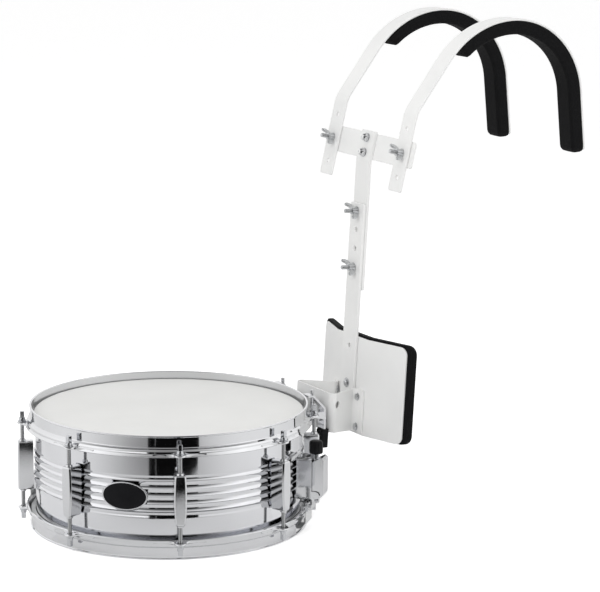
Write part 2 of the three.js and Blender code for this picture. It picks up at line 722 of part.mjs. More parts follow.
/** The strainer's housing: a rounded casting with a channel for the slide and two ears for the pivot. */
function strainerHousingSolid() {
  const low = STRAINER_BASE - lipHeight;
  const shape = roundedRectangle(STRAINER_WIDTH, STRAINER_HEIGHT, STRAINER_ROUND);
  const casting = frontProfile(shape, STRAINER_DEPTH).translate([0, housingBack, low + STRAINER_HEIGHT / 2]);
  const channel = block(
    [-CHANNEL_WIDTH / 2, housingFace - CHANNEL_DEPTH, low - OVERRUN],
    [CHANNEL_WIDTH / 2, housingFace + OVERRUN, low + STRAINER_HEIGHT + OVERRUN]);
  const pivot = [housingFace + PIVOT_REACH, low + PIVOT_LIFT];
  const earHalf = STRAINER_WIDTH / 2;
  const earInner = LEVER_WIDTH / 2 + SEAT_GAP;
  const ear = joinAll([
    sidePost(PIVOT_EAR_RADIUS, earHalf, pivot, ROD_STEPS),
    block([-earHalf, housingFace - PIVOT_EAR_RADIUS, pivot[1] - PIVOT_EAR_RADIUS],
      [earHalf, pivot[0], pivot[1] + PIVOT_EAR_RADIUS]),
  ]);
  const between = block(
    [-earInner, housingFace, pivot[1] - PIVOT_EAR_RADIUS - OVERRUN],
    [earInner, pivot[0] + PIVOT_EAR_RADIUS + OVERRUN, pivot[1] + PIVOT_EAR_RADIUS + OVERRUN]);
  const pin = sidePost(PIVOT_PIN_RADIUS, earHalf, pivot, ROD_STEPS);
  return cutAll(casting.add(ear), [channel, between]).add(pin);
}

/** The slide: a bar in the channel, with the knob's nut as its head and the strap's jaw at its foot. */
function strainerClampSolid() {
  const top = STRAINER_BASE - lipHeight + STRAINER_HEIGHT - SLIDE_TOP_SINK;
  const bed = housingFace - CHANNEL_DEPTH + TURN_GAP;
  const half = SLIDE_WIDTH / 2;
  const bar = block([-half, bed, jawLow], [half, bed + SLIDE_DEPTH, top]);
  const head = block(
    [-half + LEVER_WALL, bed, top - SLIDE_HEAD_HEIGHT], [half - LEVER_WALL, bed + SLIDE_HEAD_REACH, top]);
  const bore = post(KNOB_SCREW_RADIUS + TURN_GAP, top - SLIDE_HEAD_HEIGHT - OVERRUN, top + OVERRUN, ROD_STEPS)
    .translate([0, bed + KNOB_AXIS_REACH, 0]);
  const slit = STRAP_THICKNESS / 2 + SEAT_GAP;
  const strapSpace = block(
    [-STRAP_WIDTH / 2 - SEAT_GAP, strapUpright - slit, jawLow - OVERRUN],
    [STRAP_WIDTH / 2 + SEAT_GAP, strapUpright + slit, jawLow + JAW_HEIGHT + SEAT_GAP]);
  return cutAll(joinAll([bar, head, ...jawSolids()]), [bore, strapSpace]);
}

/** The lever: a hollow cast cover, round at its foot, that turns on the housing's pin. */
function strainerLeverSolid() {
  const pivot = [housingFace + PIVOT_REACH, STRAINER_BASE - lipHeight + PIVOT_LIFT];
  const cover = sideProfile(leverOutline(pivot), LEVER_WIDTH);
  const hollow = sideProfile(leverHollow(pivot), LEVER_WIDTH - LEVER_WALL * 2);
  const bore = sidePost(PIVOT_PIN_RADIUS + TURN_GAP, LEVER_WIDTH, pivot, ROD_STEPS);
  return cutAll(cover, [hollow, bore]);
}

function leverOutline([pivotY, pivotZ]) {
  const heel = PIVOT_REACH - SEAT_GAP;
  const back = pivotY - heel;
  const front = housingFace + LEVER_DEPTH;
  const top = STRAINER_BASE - lipHeight + STRAINER_HEIGHT;
  const foot = pivotZ - heel;
  const shape = new THREE.Shape();
  shape.moveTo(back, top - LEVER_CUT_BACK);
  shape.lineTo(back, pivotZ);
  shape.absarc(pivotY, pivotZ, heel, Math.PI, Math.PI * 1.5);
  shape.absarc(front - LEVER_ROUND, foot + LEVER_ROUND, LEVER_ROUND, -Math.PI / 2, 0);
  shape.lineTo(front, top - LEVER_WALL);
  shape.lineTo(front - LEVER_WALL, top);
  shape.lineTo(front - LEVER_WALL - LEVER_WALL, top);
  shape.closePath();
  return shape.extractPoints(CORNER_STEPS).shape.map((point) => [point.x, point.y]);
}

function leverHollow([pivotY, pivotZ]) {
  const heel = PIVOT_REACH - SEAT_GAP;
  const back = pivotY - heel - OVERRUN;
  const front = housingFace + LEVER_DEPTH - LEVER_WALL;
  const top = STRAINER_BASE - lipHeight + STRAINER_HEIGHT + OVERRUN;
  const foot = pivotZ - heel + LEVER_WALL;
  const round = LEVER_ROUND - LEVER_WALL;
  const shape = new THREE.Shape();
  shape.moveTo(back, top);
  shape.lineTo(back, foot);
  shape.absarc(front - round, foot + round, round, -Math.PI / 2, 0);
  shape.lineTo(front, top);
  shape.closePath();
  return shape.extractPoints(CORNER_STEPS).shape.map((point) => [point.x, point.y]);
}

/** The tension knob on the Z axis: a domed grip with flutes, and its screw. */
function knobSolid() {
  const low = STRAINER_BASE - lipHeight + STRAINER_HEIGHT - SLIDE_TOP_SINK + KNOB_LIFT;
  const top = low + KNOB_HEIGHT;
  const points = [];
  for (let i = 0; i < KNOB_GRIP_COUNT * 2; i += 1) {
    const [x, y] = heading(180 / KNOB_GRIP_COUNT * i);
    const radius = KNOB_RADIUS - (i % 2) * KNOB_GRIP_DEPTH;
    points.push([x * radius, y * radius]);
  }
  const scaled = (share, level) => points.map(([x, y]) => [x * share, y * share, level]);
  const shoulder = top - KNOB_GRIP_DEPTH * 3;
  const grip = loft([
    scaled(KNOB_FOOT_SHARE, low), scaled(1, low + KNOB_GRIP_DEPTH),
    scaled(1, shoulder), scaled(KNOB_DOME_SHARE, top),
  ]);
  const screw = post(KNOB_SCREW_RADIUS, low - KNOB_LIFT - KNOB_SCREW_DEPTH, low + KNOB_GRIP_DEPTH, ROD_STEPS);
  return grip.add(screw);
}

/** The butt plate: a fixed block on the shell that carries the same jaw. */
function buttPlateSolid() {
  const back = SHELL_RADIUS + SEAT_GAP;
  const slit = STRAP_THICKNESS / 2 + SEAT_GAP;
  const shape = roundedRectangle(BUTT_WIDTH, BUTT_HEIGHT, BUTT_ROUND);
  const casting = frontProfile(shape, strapUpright - slit - BUTT_STEP - back)
    .translate([0, back, jawLow - BUTT_STEP + BUTT_HEIGHT / 2]);
  return joinAll([casting, ...jawSolids()]);
}

// Carrier pieces. Their frame has its origin at the middle of the bracket's lower front edge, and leans back.

/** The folded bracket: a face to the drum, two raking side walls and two flanges on the belly plate. */
function bracketSolid() {
  const half = BRACKET_SHEET / 2;
  const rear = LOWER_BAR_FACE + BAR_SHEET - half;
  const front = [BRACKET_FACE_WIDTH / 2 - half, half];
  const neck = [BRACKET_NECK_WIDTH / 2, rear];
  const flange = [BRACKET_SPAN / 2, rear];
  const right = [front, neck, flange];
  const path = [...right.map(([x, y]) => [-x, y]).reverse(), ...right];
  const folded = prism(shapeOf(sheetOutline(path, BRACKET_SHEET)), BRACKET_HEIGHT)
    .translate([0, 0, -BRACKET_DROP]);
  const screwX = BRACKET_NECK_WIDTH / 2 + FLANGE_SCREW_INSET;
  const heads = FLANGE_SCREW_LIFTS.flatMap((lift) => [-screwX, screwX].map(
    (x) => crossPost(SCREW_HEAD_RADIUS, rear - half - SCREW_HEAD_HEIGHT, rear, [x, lift], ROD_STEPS)));
  const boltX = HOOK_SPACING / 2 - HOOK_BOLT_INSET;
  const holes = [-boltX, boltX].map((x) => crossPost(
    HOOK_BOLT_RADIUS + TURN_GAP, -OVERRUN, BRACKET_SHEET + OVERRUN, [x, HOOK_BOLT_LIFT], BAR_HOLE_STEPS));
  return cutAll(joinAll([folded, ...heads]), [...holes, ...sideHoles(front, neck)]);
}

/** The round hole through each side wall, near the folded corner. */
function sideHoles(front, neck) {
  const rake = Math.atan2(front[0] - neck[0], neck[1] - front[1]);
  const x = front[0] - Math.sin(rake) * SIDE_HOLE_INSET;
  const y = front[1] + Math.cos(rake) * SIDE_HOLE_INSET;
  const hole = sidePost(SIDE_HOLE_RADIUS, BRACKET_SHEET + OVERRUN, [0, 0], ROD_STEPS);
  return [-1, 1].map((side) => hole.rotate([0, 0, side * THREE.MathUtils.radToDeg(rake)])
    .translate([side * x, y, SIDE_HOLE_LIFT]));
}

function barHoleLifts() {
  const top = LOWER_BAR_START + LOWER_BAR_LENGTH - BAR_TOP_HOLE_DROP;
  return Array.from({ length: BAR_HOLE_COUNT }, (_, i) => top - BAR_HOLE_PITCH * i);
}

function barHole(lift) {
  const end = HEAD_FACE + BAR_SHEET + OVERRUN;
  return crossPost(BAR_HOLE_RADIUS, LOWER_BAR_FACE - OVERRUN, end, [0, lift], BAR_HOLE_STEPS);
}

function lowerBarSolid() {
  const shape = roundedRectangle(BAR_WIDTH, LOWER_BAR_LENGTH, BAR_ROUND);
  const middle = LOWER_BAR_START + LOWER_BAR_LENGTH / 2;
  const bar = frontProfile(shape, BAR_SHEET).translate([0, LOWER_BAR_FACE, middle]);
  const start = LOWER_BAR_FACE - SCREW_HEAD_HEIGHT;
  const screw = crossPost(SCREW_HEAD_RADIUS, start, LOWER_BAR_FACE + SEAT_GAP, [0, BAR_SCREW_LIFT], ROD_STEPS);
  return cutAll(bar, [...barHoleLifts(), BAR_SPARE_HOLE_LIFT].map(barHole)).add(screw);
}

/** The upper bar: behind the lower bar, bent to the cross plate's plane, with its two acorn bolts. */
function upperBarSolid() {
  const middle = LOWER_BAR_FACE + BAR_SHEET + SEAT_GAP + BAR_SHEET / 2;
  const top = LOWER_BAR_START + LOWER_BAR_LENGTH;
  const lean = THREE.MathUtils.degToRad(HEAD_LEAN);
  const headMiddle = SHOULDER_STRAP_SHEET - BAR_SHEET / 2;
  const headAt = (rise) => [
    HEAD_FACE + headMiddle * Math.cos(lean) + rise * Math.sin(lean),
    HEAD_LIFT - headMiddle * Math.sin(lean) + rise * Math.cos(lean),
  ];
  const bendRise = (middle - headAt(0)[0]) / Math.sin(lean);
  const path = [[middle, top - UPPER_BAR_OVERLAP], headAt(bendRise), headAt(UPPER_BAR_HEAD_RISE)];
  const bar = sideProfile(sheetOutline(path, BAR_SHEET), BAR_WIDTH);
  const used = barHoleLifts();
  const holes = [used[0], used[BAR_HOLE_COUNT - 1]].map(barHole);
  const bolts = [-ACORN_SPACING / 2, ACORN_SPACING / 2].map((rise) => acornBoltSolid()
    .translate([0, 0, rise]).rotate([-HEAD_LEAN, 0, 0]).translate([0, HEAD_FACE, HEAD_LIFT]));
  return joinAll([cutAll(bar, holes), ...bolts]);
}

/** An acorn nut on its bolt, along Y, in the head plane's frame. */
function acornBoltSolid() {
  const face = SHOULDER_STRAP_SHEET - BAR_SHEET;
  const nut = face - ACORN_NUT_HEIGHT;
  const rear = SHOULDER_STRAP_SHEET + SEAT_GAP + CROSS_PLATE_SHEET + SEAT_GAP;
  const dome = post(ACORN_RADIUS, 0, ACORN_DOME_HEIGHT, ROD_STEPS, ACORN_RADIUS / 2)
    .rotate([90, 0, 0]).translate([0, nut + SEAT_GAP, 0]);
  return joinAll([
    dome,
    crossPost(ACORN_RADIUS, nut, face + SEAT_GAP, [0, 0], NUT_SIDES),
    crossPost(WING_BOLT_RADIUS, face, rear + SEAT_GAP, [0, 0], ROD_STEPS),
    crossPost(WING_BOLT_HEAD_RADIUS, rear, rear + WING_BOLT_HEAD_HEIGHT, [0, 0], ROD_STEPS),
  ]);
}

function bellyPath(halfWidth, middle) {
  const flat = BELLY_FLAT_WIDTH / 2;
  const rake = Math.tan(THREE.MathUtils.degToRad(BELLY_WING_ANGLE));
  const end = middle + (halfWidth - flat) * rake;
  return [[-halfWidth, end], [-flat, middle], [flat, middle], [halfWidth, end]];
}

/** A bent plate with round corners: a folded sheet cut to a rounded rectangle seen from the front. */
function bellySolid(width, height, thickness, middle, radius) {
  const folded = prism(shapeOf(sheetOutline(bellyPath(width / 2 + thickness, middle), thickness)), height)
    .translate([0, 0, -height / 2]);
  const window = frontProfile(roundedRectangle(width, height, radius), LOWER_BAR_FACE + width);
  return folded.intersect(window).translate([0, 0, BELLY_FOOT + BELLY_HEIGHT / 2]);
}

function bellyPlateSolid() {
  const middle = LOWER_BAR_FACE + BAR_SHEET + SEAT_GAP + BELLY_SHEET / 2;
  return bellySolid(BELLY_WIDTH, BELLY_HEIGHT, BELLY_SHEET, middle, BELLY_ROUND);
}

/** The belly pad: a bent foam slab, soft at its rear edges and corners. */
function bellyPadSolid() {
  const front = LOWER_BAR_FACE + BAR_SHEET + SEAT_GAP + BELLY_SHEET + SEAT_GAP;
  const half = BELLY_WIDTH / 2 + BELLY_PAD_MARGIN;
  const flat = BELLY_FLAT_WIDTH / 2;
  const rake = Math.tan(THREE.MathUtils.degToRad(BELLY_WING_ANGLE));
  const left = PAD_END_SHARES.map(
    ([along, inset]) => [-half + BELLY_PAD_ROUND * along, BELLY_PAD_ROUND * inset]);
  const places = [...left, [-flat, 0]];
  const mirrored = places.map(([x, inset]) => [-x, inset]).reverse();
  const middle = BELLY_FOOT + BELLY_HEIGHT / 2;
  const rings = [...places, ...mirrored].map(([x, inset]) => {
    const near = front + Math.max(Math.abs(x) - flat, 0) * rake;
    const high = BELLY_HEIGHT / 2 + BELLY_PAD_RISE - inset;
    const far = near + BELLY_PAD_THICKNESS - inset * BELLY_PAD_THIN_SHARE;
    const outline = [
      [near, -high], [far - PAD_ROUND, -high], [far, PAD_ROUND - high],
      [far, high - PAD_ROUND], [far - PAD_ROUND, high], [near, high],
    ];
    return outline.map(([y, z]) => [x, y, middle + z]);
  });
  return loft(rings);
}

// Head pieces. Their frame lies in the straps' plane: X across, Y back through the sheet, Z up the strap.

function crossPlateSolid() {
  const front = SHOULDER_STRAP_SHEET + SEAT_GAP;
  const shape = roundedRectangle(CROSS_PLATE_WIDTH, CROSS_PLATE_HEIGHT, CROSS_PLATE_ROUND);
  const plate = frontProfile(shape, CROSS_PLATE_SHEET).translate([0, front, 0]);
  const places = [
    [-STRAP_SPACING / 2, 0], [STRAP_SPACING / 2, 0], [0, -ACORN_SPACING / 2], [0, ACORN_SPACING / 2],
  ];
  const end = front + CROSS_PLATE_SHEET + OVERRUN;
  return cutAll(plate, places.map(
    (place) => crossPost(WING_BOLT_RADIUS + TURN_GAP, front - OVERRUN, end, place, BAR_HOLE_STEPS)));
}

/** The line of the strap's middle, as points and the directions there, from the foot to the tail. */
function strapLine() {
  const line = [];
  const pen = { y: SHOULDER_STRAP_SHEET / 2, z: -STRAP_FOOT, angle: 0 };
  const mark = () => line.push({ ...pen });
  const run = (length) => {
    pen.y += Math.sin(pen.angle) * length;
    pen.z += Math.cos(pen.angle) * length;
    mark();
  };
  const bend = (radius, turn, steps) => {
    const step = THREE.MathUtils.degToRad(turn) / steps;
    for (let i = 0; i < steps; i += 1) {
      pen.angle += step / 2;
      run(2 * radius * Math.sin(step / 2));
      pen.angle += step / 2;
      line[line.length - 1].angle = pen.angle;
    }
  };
  mark();
  run(STRAP_FOOT + STRAP_SHIN);
  pen.angle = THREE.MathUtils.degToRad(STRAP_BEND);
  run(STRAP_RISE);
  const archStart = line.length - 1;
  bend(ARCH_FRONT_RADIUS, ARCH_FRONT_TURN, ARCH_FRONT_STEPS);
  bend(ARCH_BACK_RADIUS, ARCH_BACK_TURN, ARCH_BACK_STEPS);
  run(STRAP_TAIL);
  return { line, archStart };
}

function shoulderStrapSolid() {
  const path = strapLine().line.map(({ y, z }) => [y, z]);
  const strap = sideProfile(sheetOutline(path, SHOULDER_STRAP_SHEET), SHOULDER_STRAP_WIDTH);
  const holes = [-STRAP_HOLE_PITCH, 0, STRAP_HOLE_PITCH].map((rise) => crossPost(
    WING_BOLT_RADIUS + TURN_GAP, -OVERRUN, SHOULDER_STRAP_SHEET + OVERRUN, [0, rise], BAR_HOLE_STEPS));
  const corner = roundedRectangle(SHOULDER_STRAP_WIDTH, STRAP_FOOT * 2, SHOULDER_STRAP_ROUND);
  const foot = block(
    [-SHOULDER_STRAP_WIDTH, -OVERRUN, -STRAP_FOOT - OVERRUN],
    [SHOULDER_STRAP_WIDTH, SHOULDER_STRAP_SHEET + OVERRUN, -STRAP_FOOT / 2]);
  const keep = frontProfile(corner, SHOULDER_STRAP_SHEET + OVERRUN + OVERRUN).translate([0, -OVERRUN, 0]);
  const trim = foot.subtract(keep);
  return cutAll(strap, [...holes, trim]);
}

/** The shoulder pad: a foam bar with round edges and ends, under the strap's arch. */
function shoulderPadSolid() {
  const stations = padStations();
  const near = SHOULDER_STRAP_SHEET / 2 + SEAT_GAP;
  const rings = stations.map(({ y, z, angle, inset }) => {
    const [low, high] = [near + inset * PAD_SEAT_SINK_SHARE, near + PAD_THICKNESS - inset];
    const half = PAD_WIDTH / 2 - inset;
    const outline = [
      [-half, low], [half, low], [half, high - PAD_ROUND],
      [half - PAD_ROUND, high], [-half + PAD_ROUND, high], [-half, high - PAD_ROUND],
    ];
    return outline.map(([x, depth]) => [x, y + Math.cos(angle) * depth, z - Math.sin(angle) * depth]);
  });
  return loft(rings);
}

/** Places along the strap where the pad has a section, each with how far its end is drawn in. */
function padStations() {
  const { line, archStart } = strapLine();
  const along = (place, length, inset) => ({
    y: place.y + Math.sin(place.angle) * length,
    z: place.z + Math.cos(place.angle) * length,
    angle: place.angle,
    inset,
  });
  const firstTurn = THREE.MathUtils.degToRad(ARCH_FRONT_TURN) / ARCH_FRONT_STEPS;
  const firstChord = 2 * ARCH_FRONT_RADIUS * Math.sin(firstTurn / 2);
  const start = PAD_START_INSET - firstChord;
  const end = STRAP_TAIL + PAD_TAIL_OVERHANG;
  const shares = PAD_END_SHARES.map(([place, inset]) => [PAD_END_ROUND * place, PAD_END_ROUND * inset]);
  const tail = line[line.length - 2];
  return [
    ...shares.slice(0, -1).map(([length, inset]) => along(line[archStart + 1], start + length, inset)),
    ...line.slice(archStart + 2, line.length - 1).map((place) => along(place, 0, 0)),
    ...shares.map(([length, inset]) => along(tail, end - length, inset)).reverse(),
  ];
}

/** A bolt along Y whose head bears behind the sheets and whose thread stands out in front. */
function wingBoltSolid(grip) {
  const seat = grip + SEAT_GAP;
  return joinAll([
    crossPost(WING_BOLT_RADIUS, -WING_BOLT_REACH, seat + SEAT_GAP, [0, 0], ROD_STEPS),
    crossPost(WING_BOLT_HEAD_RADIUS, seat, seat + WING_BOLT_HEAD_HEIGHT, [0, 0], ROD_STEPS),
  ]);
}

/** A wing nut along Y, bearing on y = 0 from in front. */
function wingNutSolid() {
  const hub = post(WING_HUB_RADIUS, 0, WING_HUB_HEIGHT, ROD_STEPS, WING_HUB_TOP_RADIUS);
  const half = WING_SPAN / 2;
  const saddle = WING_HUB_HEIGHT - WING_THICKNESS / 2;
  const wing = new THREE.Shape();
  wing.moveTo(0, WING_THICKNESS / 2);
  wing.lineTo(WING_HUB_RADIUS, WING_THICKNESS / 2);
  wing.quadraticCurveTo(half, WING_HUB_HEIGHT / 2, half, WING_HUB_HEIGHT);
  wing.quadraticCurveTo(half, WING_RISE, half - WING_HUB_HEIGHT / 2, WING_RISE);
  wing.quadraticCurveTo(WING_HUB_RADIUS, WING_RISE, WING_HUB_TOP_RADIUS / 2, saddle);
  wing.lineTo(0, saddle);
  wing.closePath();
  const right = frontProfile(wing, WING_THICKNESS).translate([0, -WING_THICKNESS / 2, 0]);
  const bore = post(WING_BOLT_RADIUS + TURN_GAP, -OVERRUN, WING_RISE + OVERRUN, BAR_HOLE_STEPS);
  const nut = cutAll(joinAll([hub, right, right.rotate([0, 0, 180])]), [bore]);
  return nut.rotate([90, 0, 0]).rotate([0, WING_TURN, 0]).translate([0, -SEAT_GAP, 0]);
}

// Hooks, in the drum's upright frame: Y out from the drum's axis towards the bracket, heights from the floor.

function bracketFaceAt(height) {
  return bracketFace + (height - BRACKET_LIFT) * Math.tan(THREE.MathUtils.degToRad(CARRIER_LEAN));
}

/** How far out a circle of the drum lies, level with a hook. */
function reachAtHook(radius, offset) {
  return Math.sqrt(radius * radius - (HOOK_SPACING / 2 + offset) ** 2);
}

/** The rubber block on the bracket's foot, below the claw's leg. */
function hookBlockSolid() {
  const top = HOOK_BLOCK_LIFT + HOOK_BLOCK_HEIGHT;
  const backAt = (height) => bracketFaceAt(height) - SEAT_GAP;
  const front = backAt(HOOK_BLOCK_LIFT) - HOOK_BLOCK_DEPTH;
  const outline = [
    [backAt(HOOK_BLOCK_LIFT), HOOK_BLOCK_LIFT],
    [backAt(top), top],
    [front + HOOK_BLOCK_CHAMFER, top],
    [front, top - HOOK_BLOCK_CHAMFER],
    [front, HOOK_BLOCK_LIFT + HOOK_BLOCK_CHAMFER],
    [front + HOOK_BLOCK_CHAMFER, HOOK_BLOCK_LIFT],
  ];
  return sideProfile(outline, HOOK_BLOCK_WIDTH);
}

/** The claw strip beside the hoop, its jaw under the flange and its two bolts; sign is its side of the drum. */
function hookClawSolid(sign) {
  const half = CLAW_SHEET / 2;
  const tip = reachAtHook(lipOuter, -CLAW_WIDTH / 2) + CLAW_TIP_CLEARANCE;
  const leg = bracketFace - CLAW_LEG_BACK;
  const foot = HOOK_BLOCK_LIFT + HOOK_BLOCK_HEIGHT + SEAT_GAP;
  const path = [[tip, CLAW_TOP], [tip + CLAW_CREST, CLAW_TOP], [leg, CLAW_LEG_TOP], [leg, foot]];
  const jawTop = lipHeight + flangeLow - SEAT_GAP;
  const jawTip = reachAtHook(flangeOuter, 0) - HOOK_JAW_REACH;
  const jaw = [
    [leg, jawTop], [jawTip, jawTop], [jawTip, jawTop - HOOK_JAW_THICKNESS], [leg, jawTop - HOOK_JAW_ROOT],
  ];
  const clamp = reachAtHook(flangeOuter, 0) + CLAMP_BOLT_STAND_OFF;
  const level = BRACKET_LIFT + HOOK_BOLT_LIFT;
  const nutStart = bracketFaceAt(level) + BRACKET_SHEET + SEAT_GAP;
  const bolt = [-sign * HOOK_BOLT_INSET, level];
  return joinAll([
    sideProfile(sheetOutline(path, CLAW_SHEET), CLAW_WIDTH),
    sideProfile(jaw, CLAW_WIDTH),
    post(CLAMP_BOLT_RADIUS, jawTop - HOOK_JAW_THICKNESS, CLAMP_BOLT_TOP, ROD_STEPS).translate([0, clamp, 0]),
    post(CLAMP_NUT_RADIUS, jawTop - half, jawTop + CLAMP_NUT_HEIGHT, NUT_SIDES).translate([0, clamp, 0]),
    crossPost(HOOK_SPACER_RADIUS, leg, bracketFaceAt(level - HOOK_SPACER_RADIUS) - SEAT_GAP, bolt, ROD_STEPS),
    crossPost(HOOK_BOLT_RADIUS, leg - half - HOOK_BOLT_RADIUS, nutStart + HOOK_NUT_HEIGHT, bolt, ROD_STEPS),
    crossPost(HOOK_NUT_RADIUS, nutStart, nutStart + HOOK_NUT_HEIGHT, bolt, NUT_SIDES),
  ]);
}

// Assembly

function buildDrum() {
  const drum = new THREE.Group();
  drum.position.z = lipHeight;
  const snareHead = named('snare_head', headSolid(), 'clearFilm');
  snareHead.rotation.x = Math.PI;
  drum.add(
    named('shell', shellSolid(), 'chrome'),
    named('batter_head', headSolid(), 'film'),
    snareHead,
    named('top_hoop', topHoopSolid(), 'chrome'),
    named('bottom_hoop', bottomHoopSolid(), 'chrome'),
    station(BADGE_AZIMUTH, named('badge', badgeSolid(), 'badge')),
  );
  earAzimuths().forEach((azimuth, i) => drum.add(buildLugStation(azimuth, i + 1)));
  drum.add(...buildSnareSide());
  return drum;
}

function buildLugStation(azimuth, number) {
  const topRod = named(`top_rod_${number}`, rodSolid(), 'chrome');
  const bottomRod = named(`bottom_rod_${number}`, rodSolid(), 'chrome');
  topRod.position.y = rodCircle;
  bottomRod.position.y = rodCircle;
  bottomRod.rotation.x = Math.PI;
  return station(azimuth, named(`lug_${number}`, lugSolid(), 'chrome'), topRod, bottomRod);
}

function buildSnareSide() {
  const knob = named('strainer_knob', knobSolid(), 'blackPlastic');
  knob.position.y = housingFace - CHANNEL_DEPTH + TURN_GAP + KNOB_AXIS_REACH;
  return [
    station(SNARE_AZIMUTH,
      named('strainer_housing', strainerHousingSolid(), 'chrome'),
      named('strainer_lever', strainerLeverSolid(), 'chrome'),
      named('strainer_clamp', strainerClampSolid(), 'chrome'),
      knob,
      named('snare_strap_strainer', snareStrapSolid(), 'clearFilm'),
      named('snare_wires', snareWiresSolid(), 'steel')),
    station(SNARE_AZIMUTH + 180,
      named('butt_plate', buttPlateSolid(), 'chrome'),
      named('snare_strap_butt', snareStrapSolid(), 'clearFilm')),
  ];
}

function buildCarrier() {
  const carrier = new THREE.Group();
  carrier.position.set(0, bracketFace, BRACKET_LIFT);
  carrier.rotation.x = -THREE.MathUtils.degToRad(CARRIER_LEAN);
  carrier.add(
    named('drum_bracket', bracketSolid(), 'whitePaint'),
    named('belly_plate', bellyPlateSolid(), 'whitePaint'),
    named('belly_pad', bellyPadSolid(), 'blackFoam'),
    named('lower_bar', lowerBarSolid(), 'whitePaint'),
    named('upper_bar', upperBarSolid(), 'whitePaint'),
    ...buildBarBolts(),
    buildHead(),
  );
  return carrier;
}

function buildBarBolts() {
  const lifts = barHoleLifts();
  const grip = BAR_SHEET * 2 + SEAT_GAP;
  return [['upper', lifts[0]], ['lower', lifts[BAR_HOLE_COUNT - 1]]].map(([label, lift]) => {
    const pair = new THREE.Group();
    pair.position.set(0, LOWER_BAR_FACE, lift);
    pair.add(
      named(`bar_bolt_${label}`, wingBoltSolid(grip), 'steel'),
      named(`bar_wing_nut_${label}`, wingNutSolid(), 'steel'));
    return pair;
  });
}

function buildHead() {
  const head = new THREE.Group();
  head.position.set(0, HEAD_FACE, HEAD_LIFT);
  head.rotation.x = -THREE.MathUtils.degToRad(HEAD_LEAN);
  head.add(named('cross_plate', crossPlateSolid(), 'whitePaint'));
  const grip = SHOULDER_STRAP_SHEET + SEAT_GAP + CROSS_PLATE_SHEET;
  [['left', -1], ['right', 1]].forEach(([side, sign]) => {
    const arm = new THREE.Group();
    arm.position.x = sign * STRAP_SPACING / 2;
    arm.add(
      named(`shoulder_strap_${side}`, shoulderStrapSolid(), 'whitePaint'),
      named(`shoulder_pad_${side}`, shoulderPadSolid(), 'blackFoam'),
      named(`strap_bolt_${side}`, wingBoltSolid(grip), 'steel'),
      named(`strap_wing_nut_${side}`, wingNutSolid(), 'steel'));
    head.add(arm);
  });
  return head;
}

function buildHooks() {
  const hooks = new THREE.Group();
  [['left', -1], ['right', 1]].forEach(([side, sign]) => {
    const hook = new THREE.Group();
    hook.position.x = sign * HOOK_SPACING / 2;
    hook.add(
      named(`hook_block_${side}`, hookBlockSolid(), 'blackPlastic'),
      named(`hook_claw_${side}`, hookClawSolid(sign), 'chrome'));
    hooks.add(hook);
  });
  return hooks;
}

/** Everything, moved so that the middle of its footprint box is the origin. */
function buildAssembly() {
  const assembly = new THREE.Group();
  assembly.name = 'marching_snare_drum';
  assembly.add(buildDrum(), buildCarrier(), buildHooks());
  assembly.updateMatrixWorld(true);
  const box = new THREE.Box3().setFromObject(assembly, true);
  const middle = box.getCenter(new THREE.Vector3());
  assembly.position.set(-middle.x, -middle.y, -box.min.z);
  assembly.updateMatrixWorld(true);
  return assembly;
}

const assembly = buildAssembly();

export default assembly;
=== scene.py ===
"""The looks of the marching snare drum and its carrier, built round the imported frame.

Shapes are in millimetres in small local frames, and matrices carry them into the row's frame in metres.
A station's frame has X along the drum's tangent, Y out along its radius and Z up. The carrier's frame has Y
from the bracket's face to the player and Z up along its bars.
"""
import math

import bmesh
import bpy
from mathutils import Matrix, Vector


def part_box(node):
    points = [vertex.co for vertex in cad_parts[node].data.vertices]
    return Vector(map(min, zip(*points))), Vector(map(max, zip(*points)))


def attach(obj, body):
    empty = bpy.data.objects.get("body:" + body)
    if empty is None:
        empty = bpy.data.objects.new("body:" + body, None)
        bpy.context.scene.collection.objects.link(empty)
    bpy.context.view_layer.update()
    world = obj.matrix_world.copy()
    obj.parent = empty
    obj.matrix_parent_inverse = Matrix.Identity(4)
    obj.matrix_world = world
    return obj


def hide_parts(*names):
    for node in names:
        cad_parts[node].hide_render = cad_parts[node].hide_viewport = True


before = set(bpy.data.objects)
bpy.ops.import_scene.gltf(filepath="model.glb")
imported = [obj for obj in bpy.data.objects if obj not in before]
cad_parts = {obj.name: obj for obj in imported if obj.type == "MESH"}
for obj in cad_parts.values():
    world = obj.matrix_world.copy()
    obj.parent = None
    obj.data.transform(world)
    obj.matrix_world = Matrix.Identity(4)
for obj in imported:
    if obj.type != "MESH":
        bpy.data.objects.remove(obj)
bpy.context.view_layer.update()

ROOT = "drum_and_carrier"
METRES = 0.001
shell_low, shell_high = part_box("shell")
AXIS_Y = (shell_low[1] + shell_high[1]) / 2
# The camera stands on this heading from the drum's axis, in degrees from +X
VIEW_HEADING = -26.5

# Drum: its height over the hoops, the radii of its shell and its rods' circle, and its stations in degrees
DRUM_HEIGHT = 162.0
MIDDLE = DRUM_HEIGHT / 2
SHELL_RADIUS = 177.8
ROD_CIRCLE = 194.5
EAR_COUNT = 8
EARS = [360 / EAR_COUNT * (i + 0.5) for i in range(EAR_COUNT)]
STRAINER_AT = 45
BADGE_AT = 135
BUTT_AT = 225

# Carrier: the place and lean of the bracket's face, the bars' face and the shoulder straps' face behind it
BRACKET_AT = (0, 217.3, 101)
BAR_FACE = 53.2
STRAP_FACE = 62.1
BAR_SHEET = 4.0
HOLE_RADIUS = 3.4
CARRIER_LEAN = -3.3
CROSS_LIFT = 390
CROSS_LEAN = -10
STRAP_SPREAD = 91
BAR_HOLE_TOP = 300
BAR_HOLE_PITCH = 26
# The sides, seen from the front, with the signs of their places
SIDES = (("left", -1), ("right", 1))


def shift(x, y, z):
    return Matrix.Translation((x, y, z))


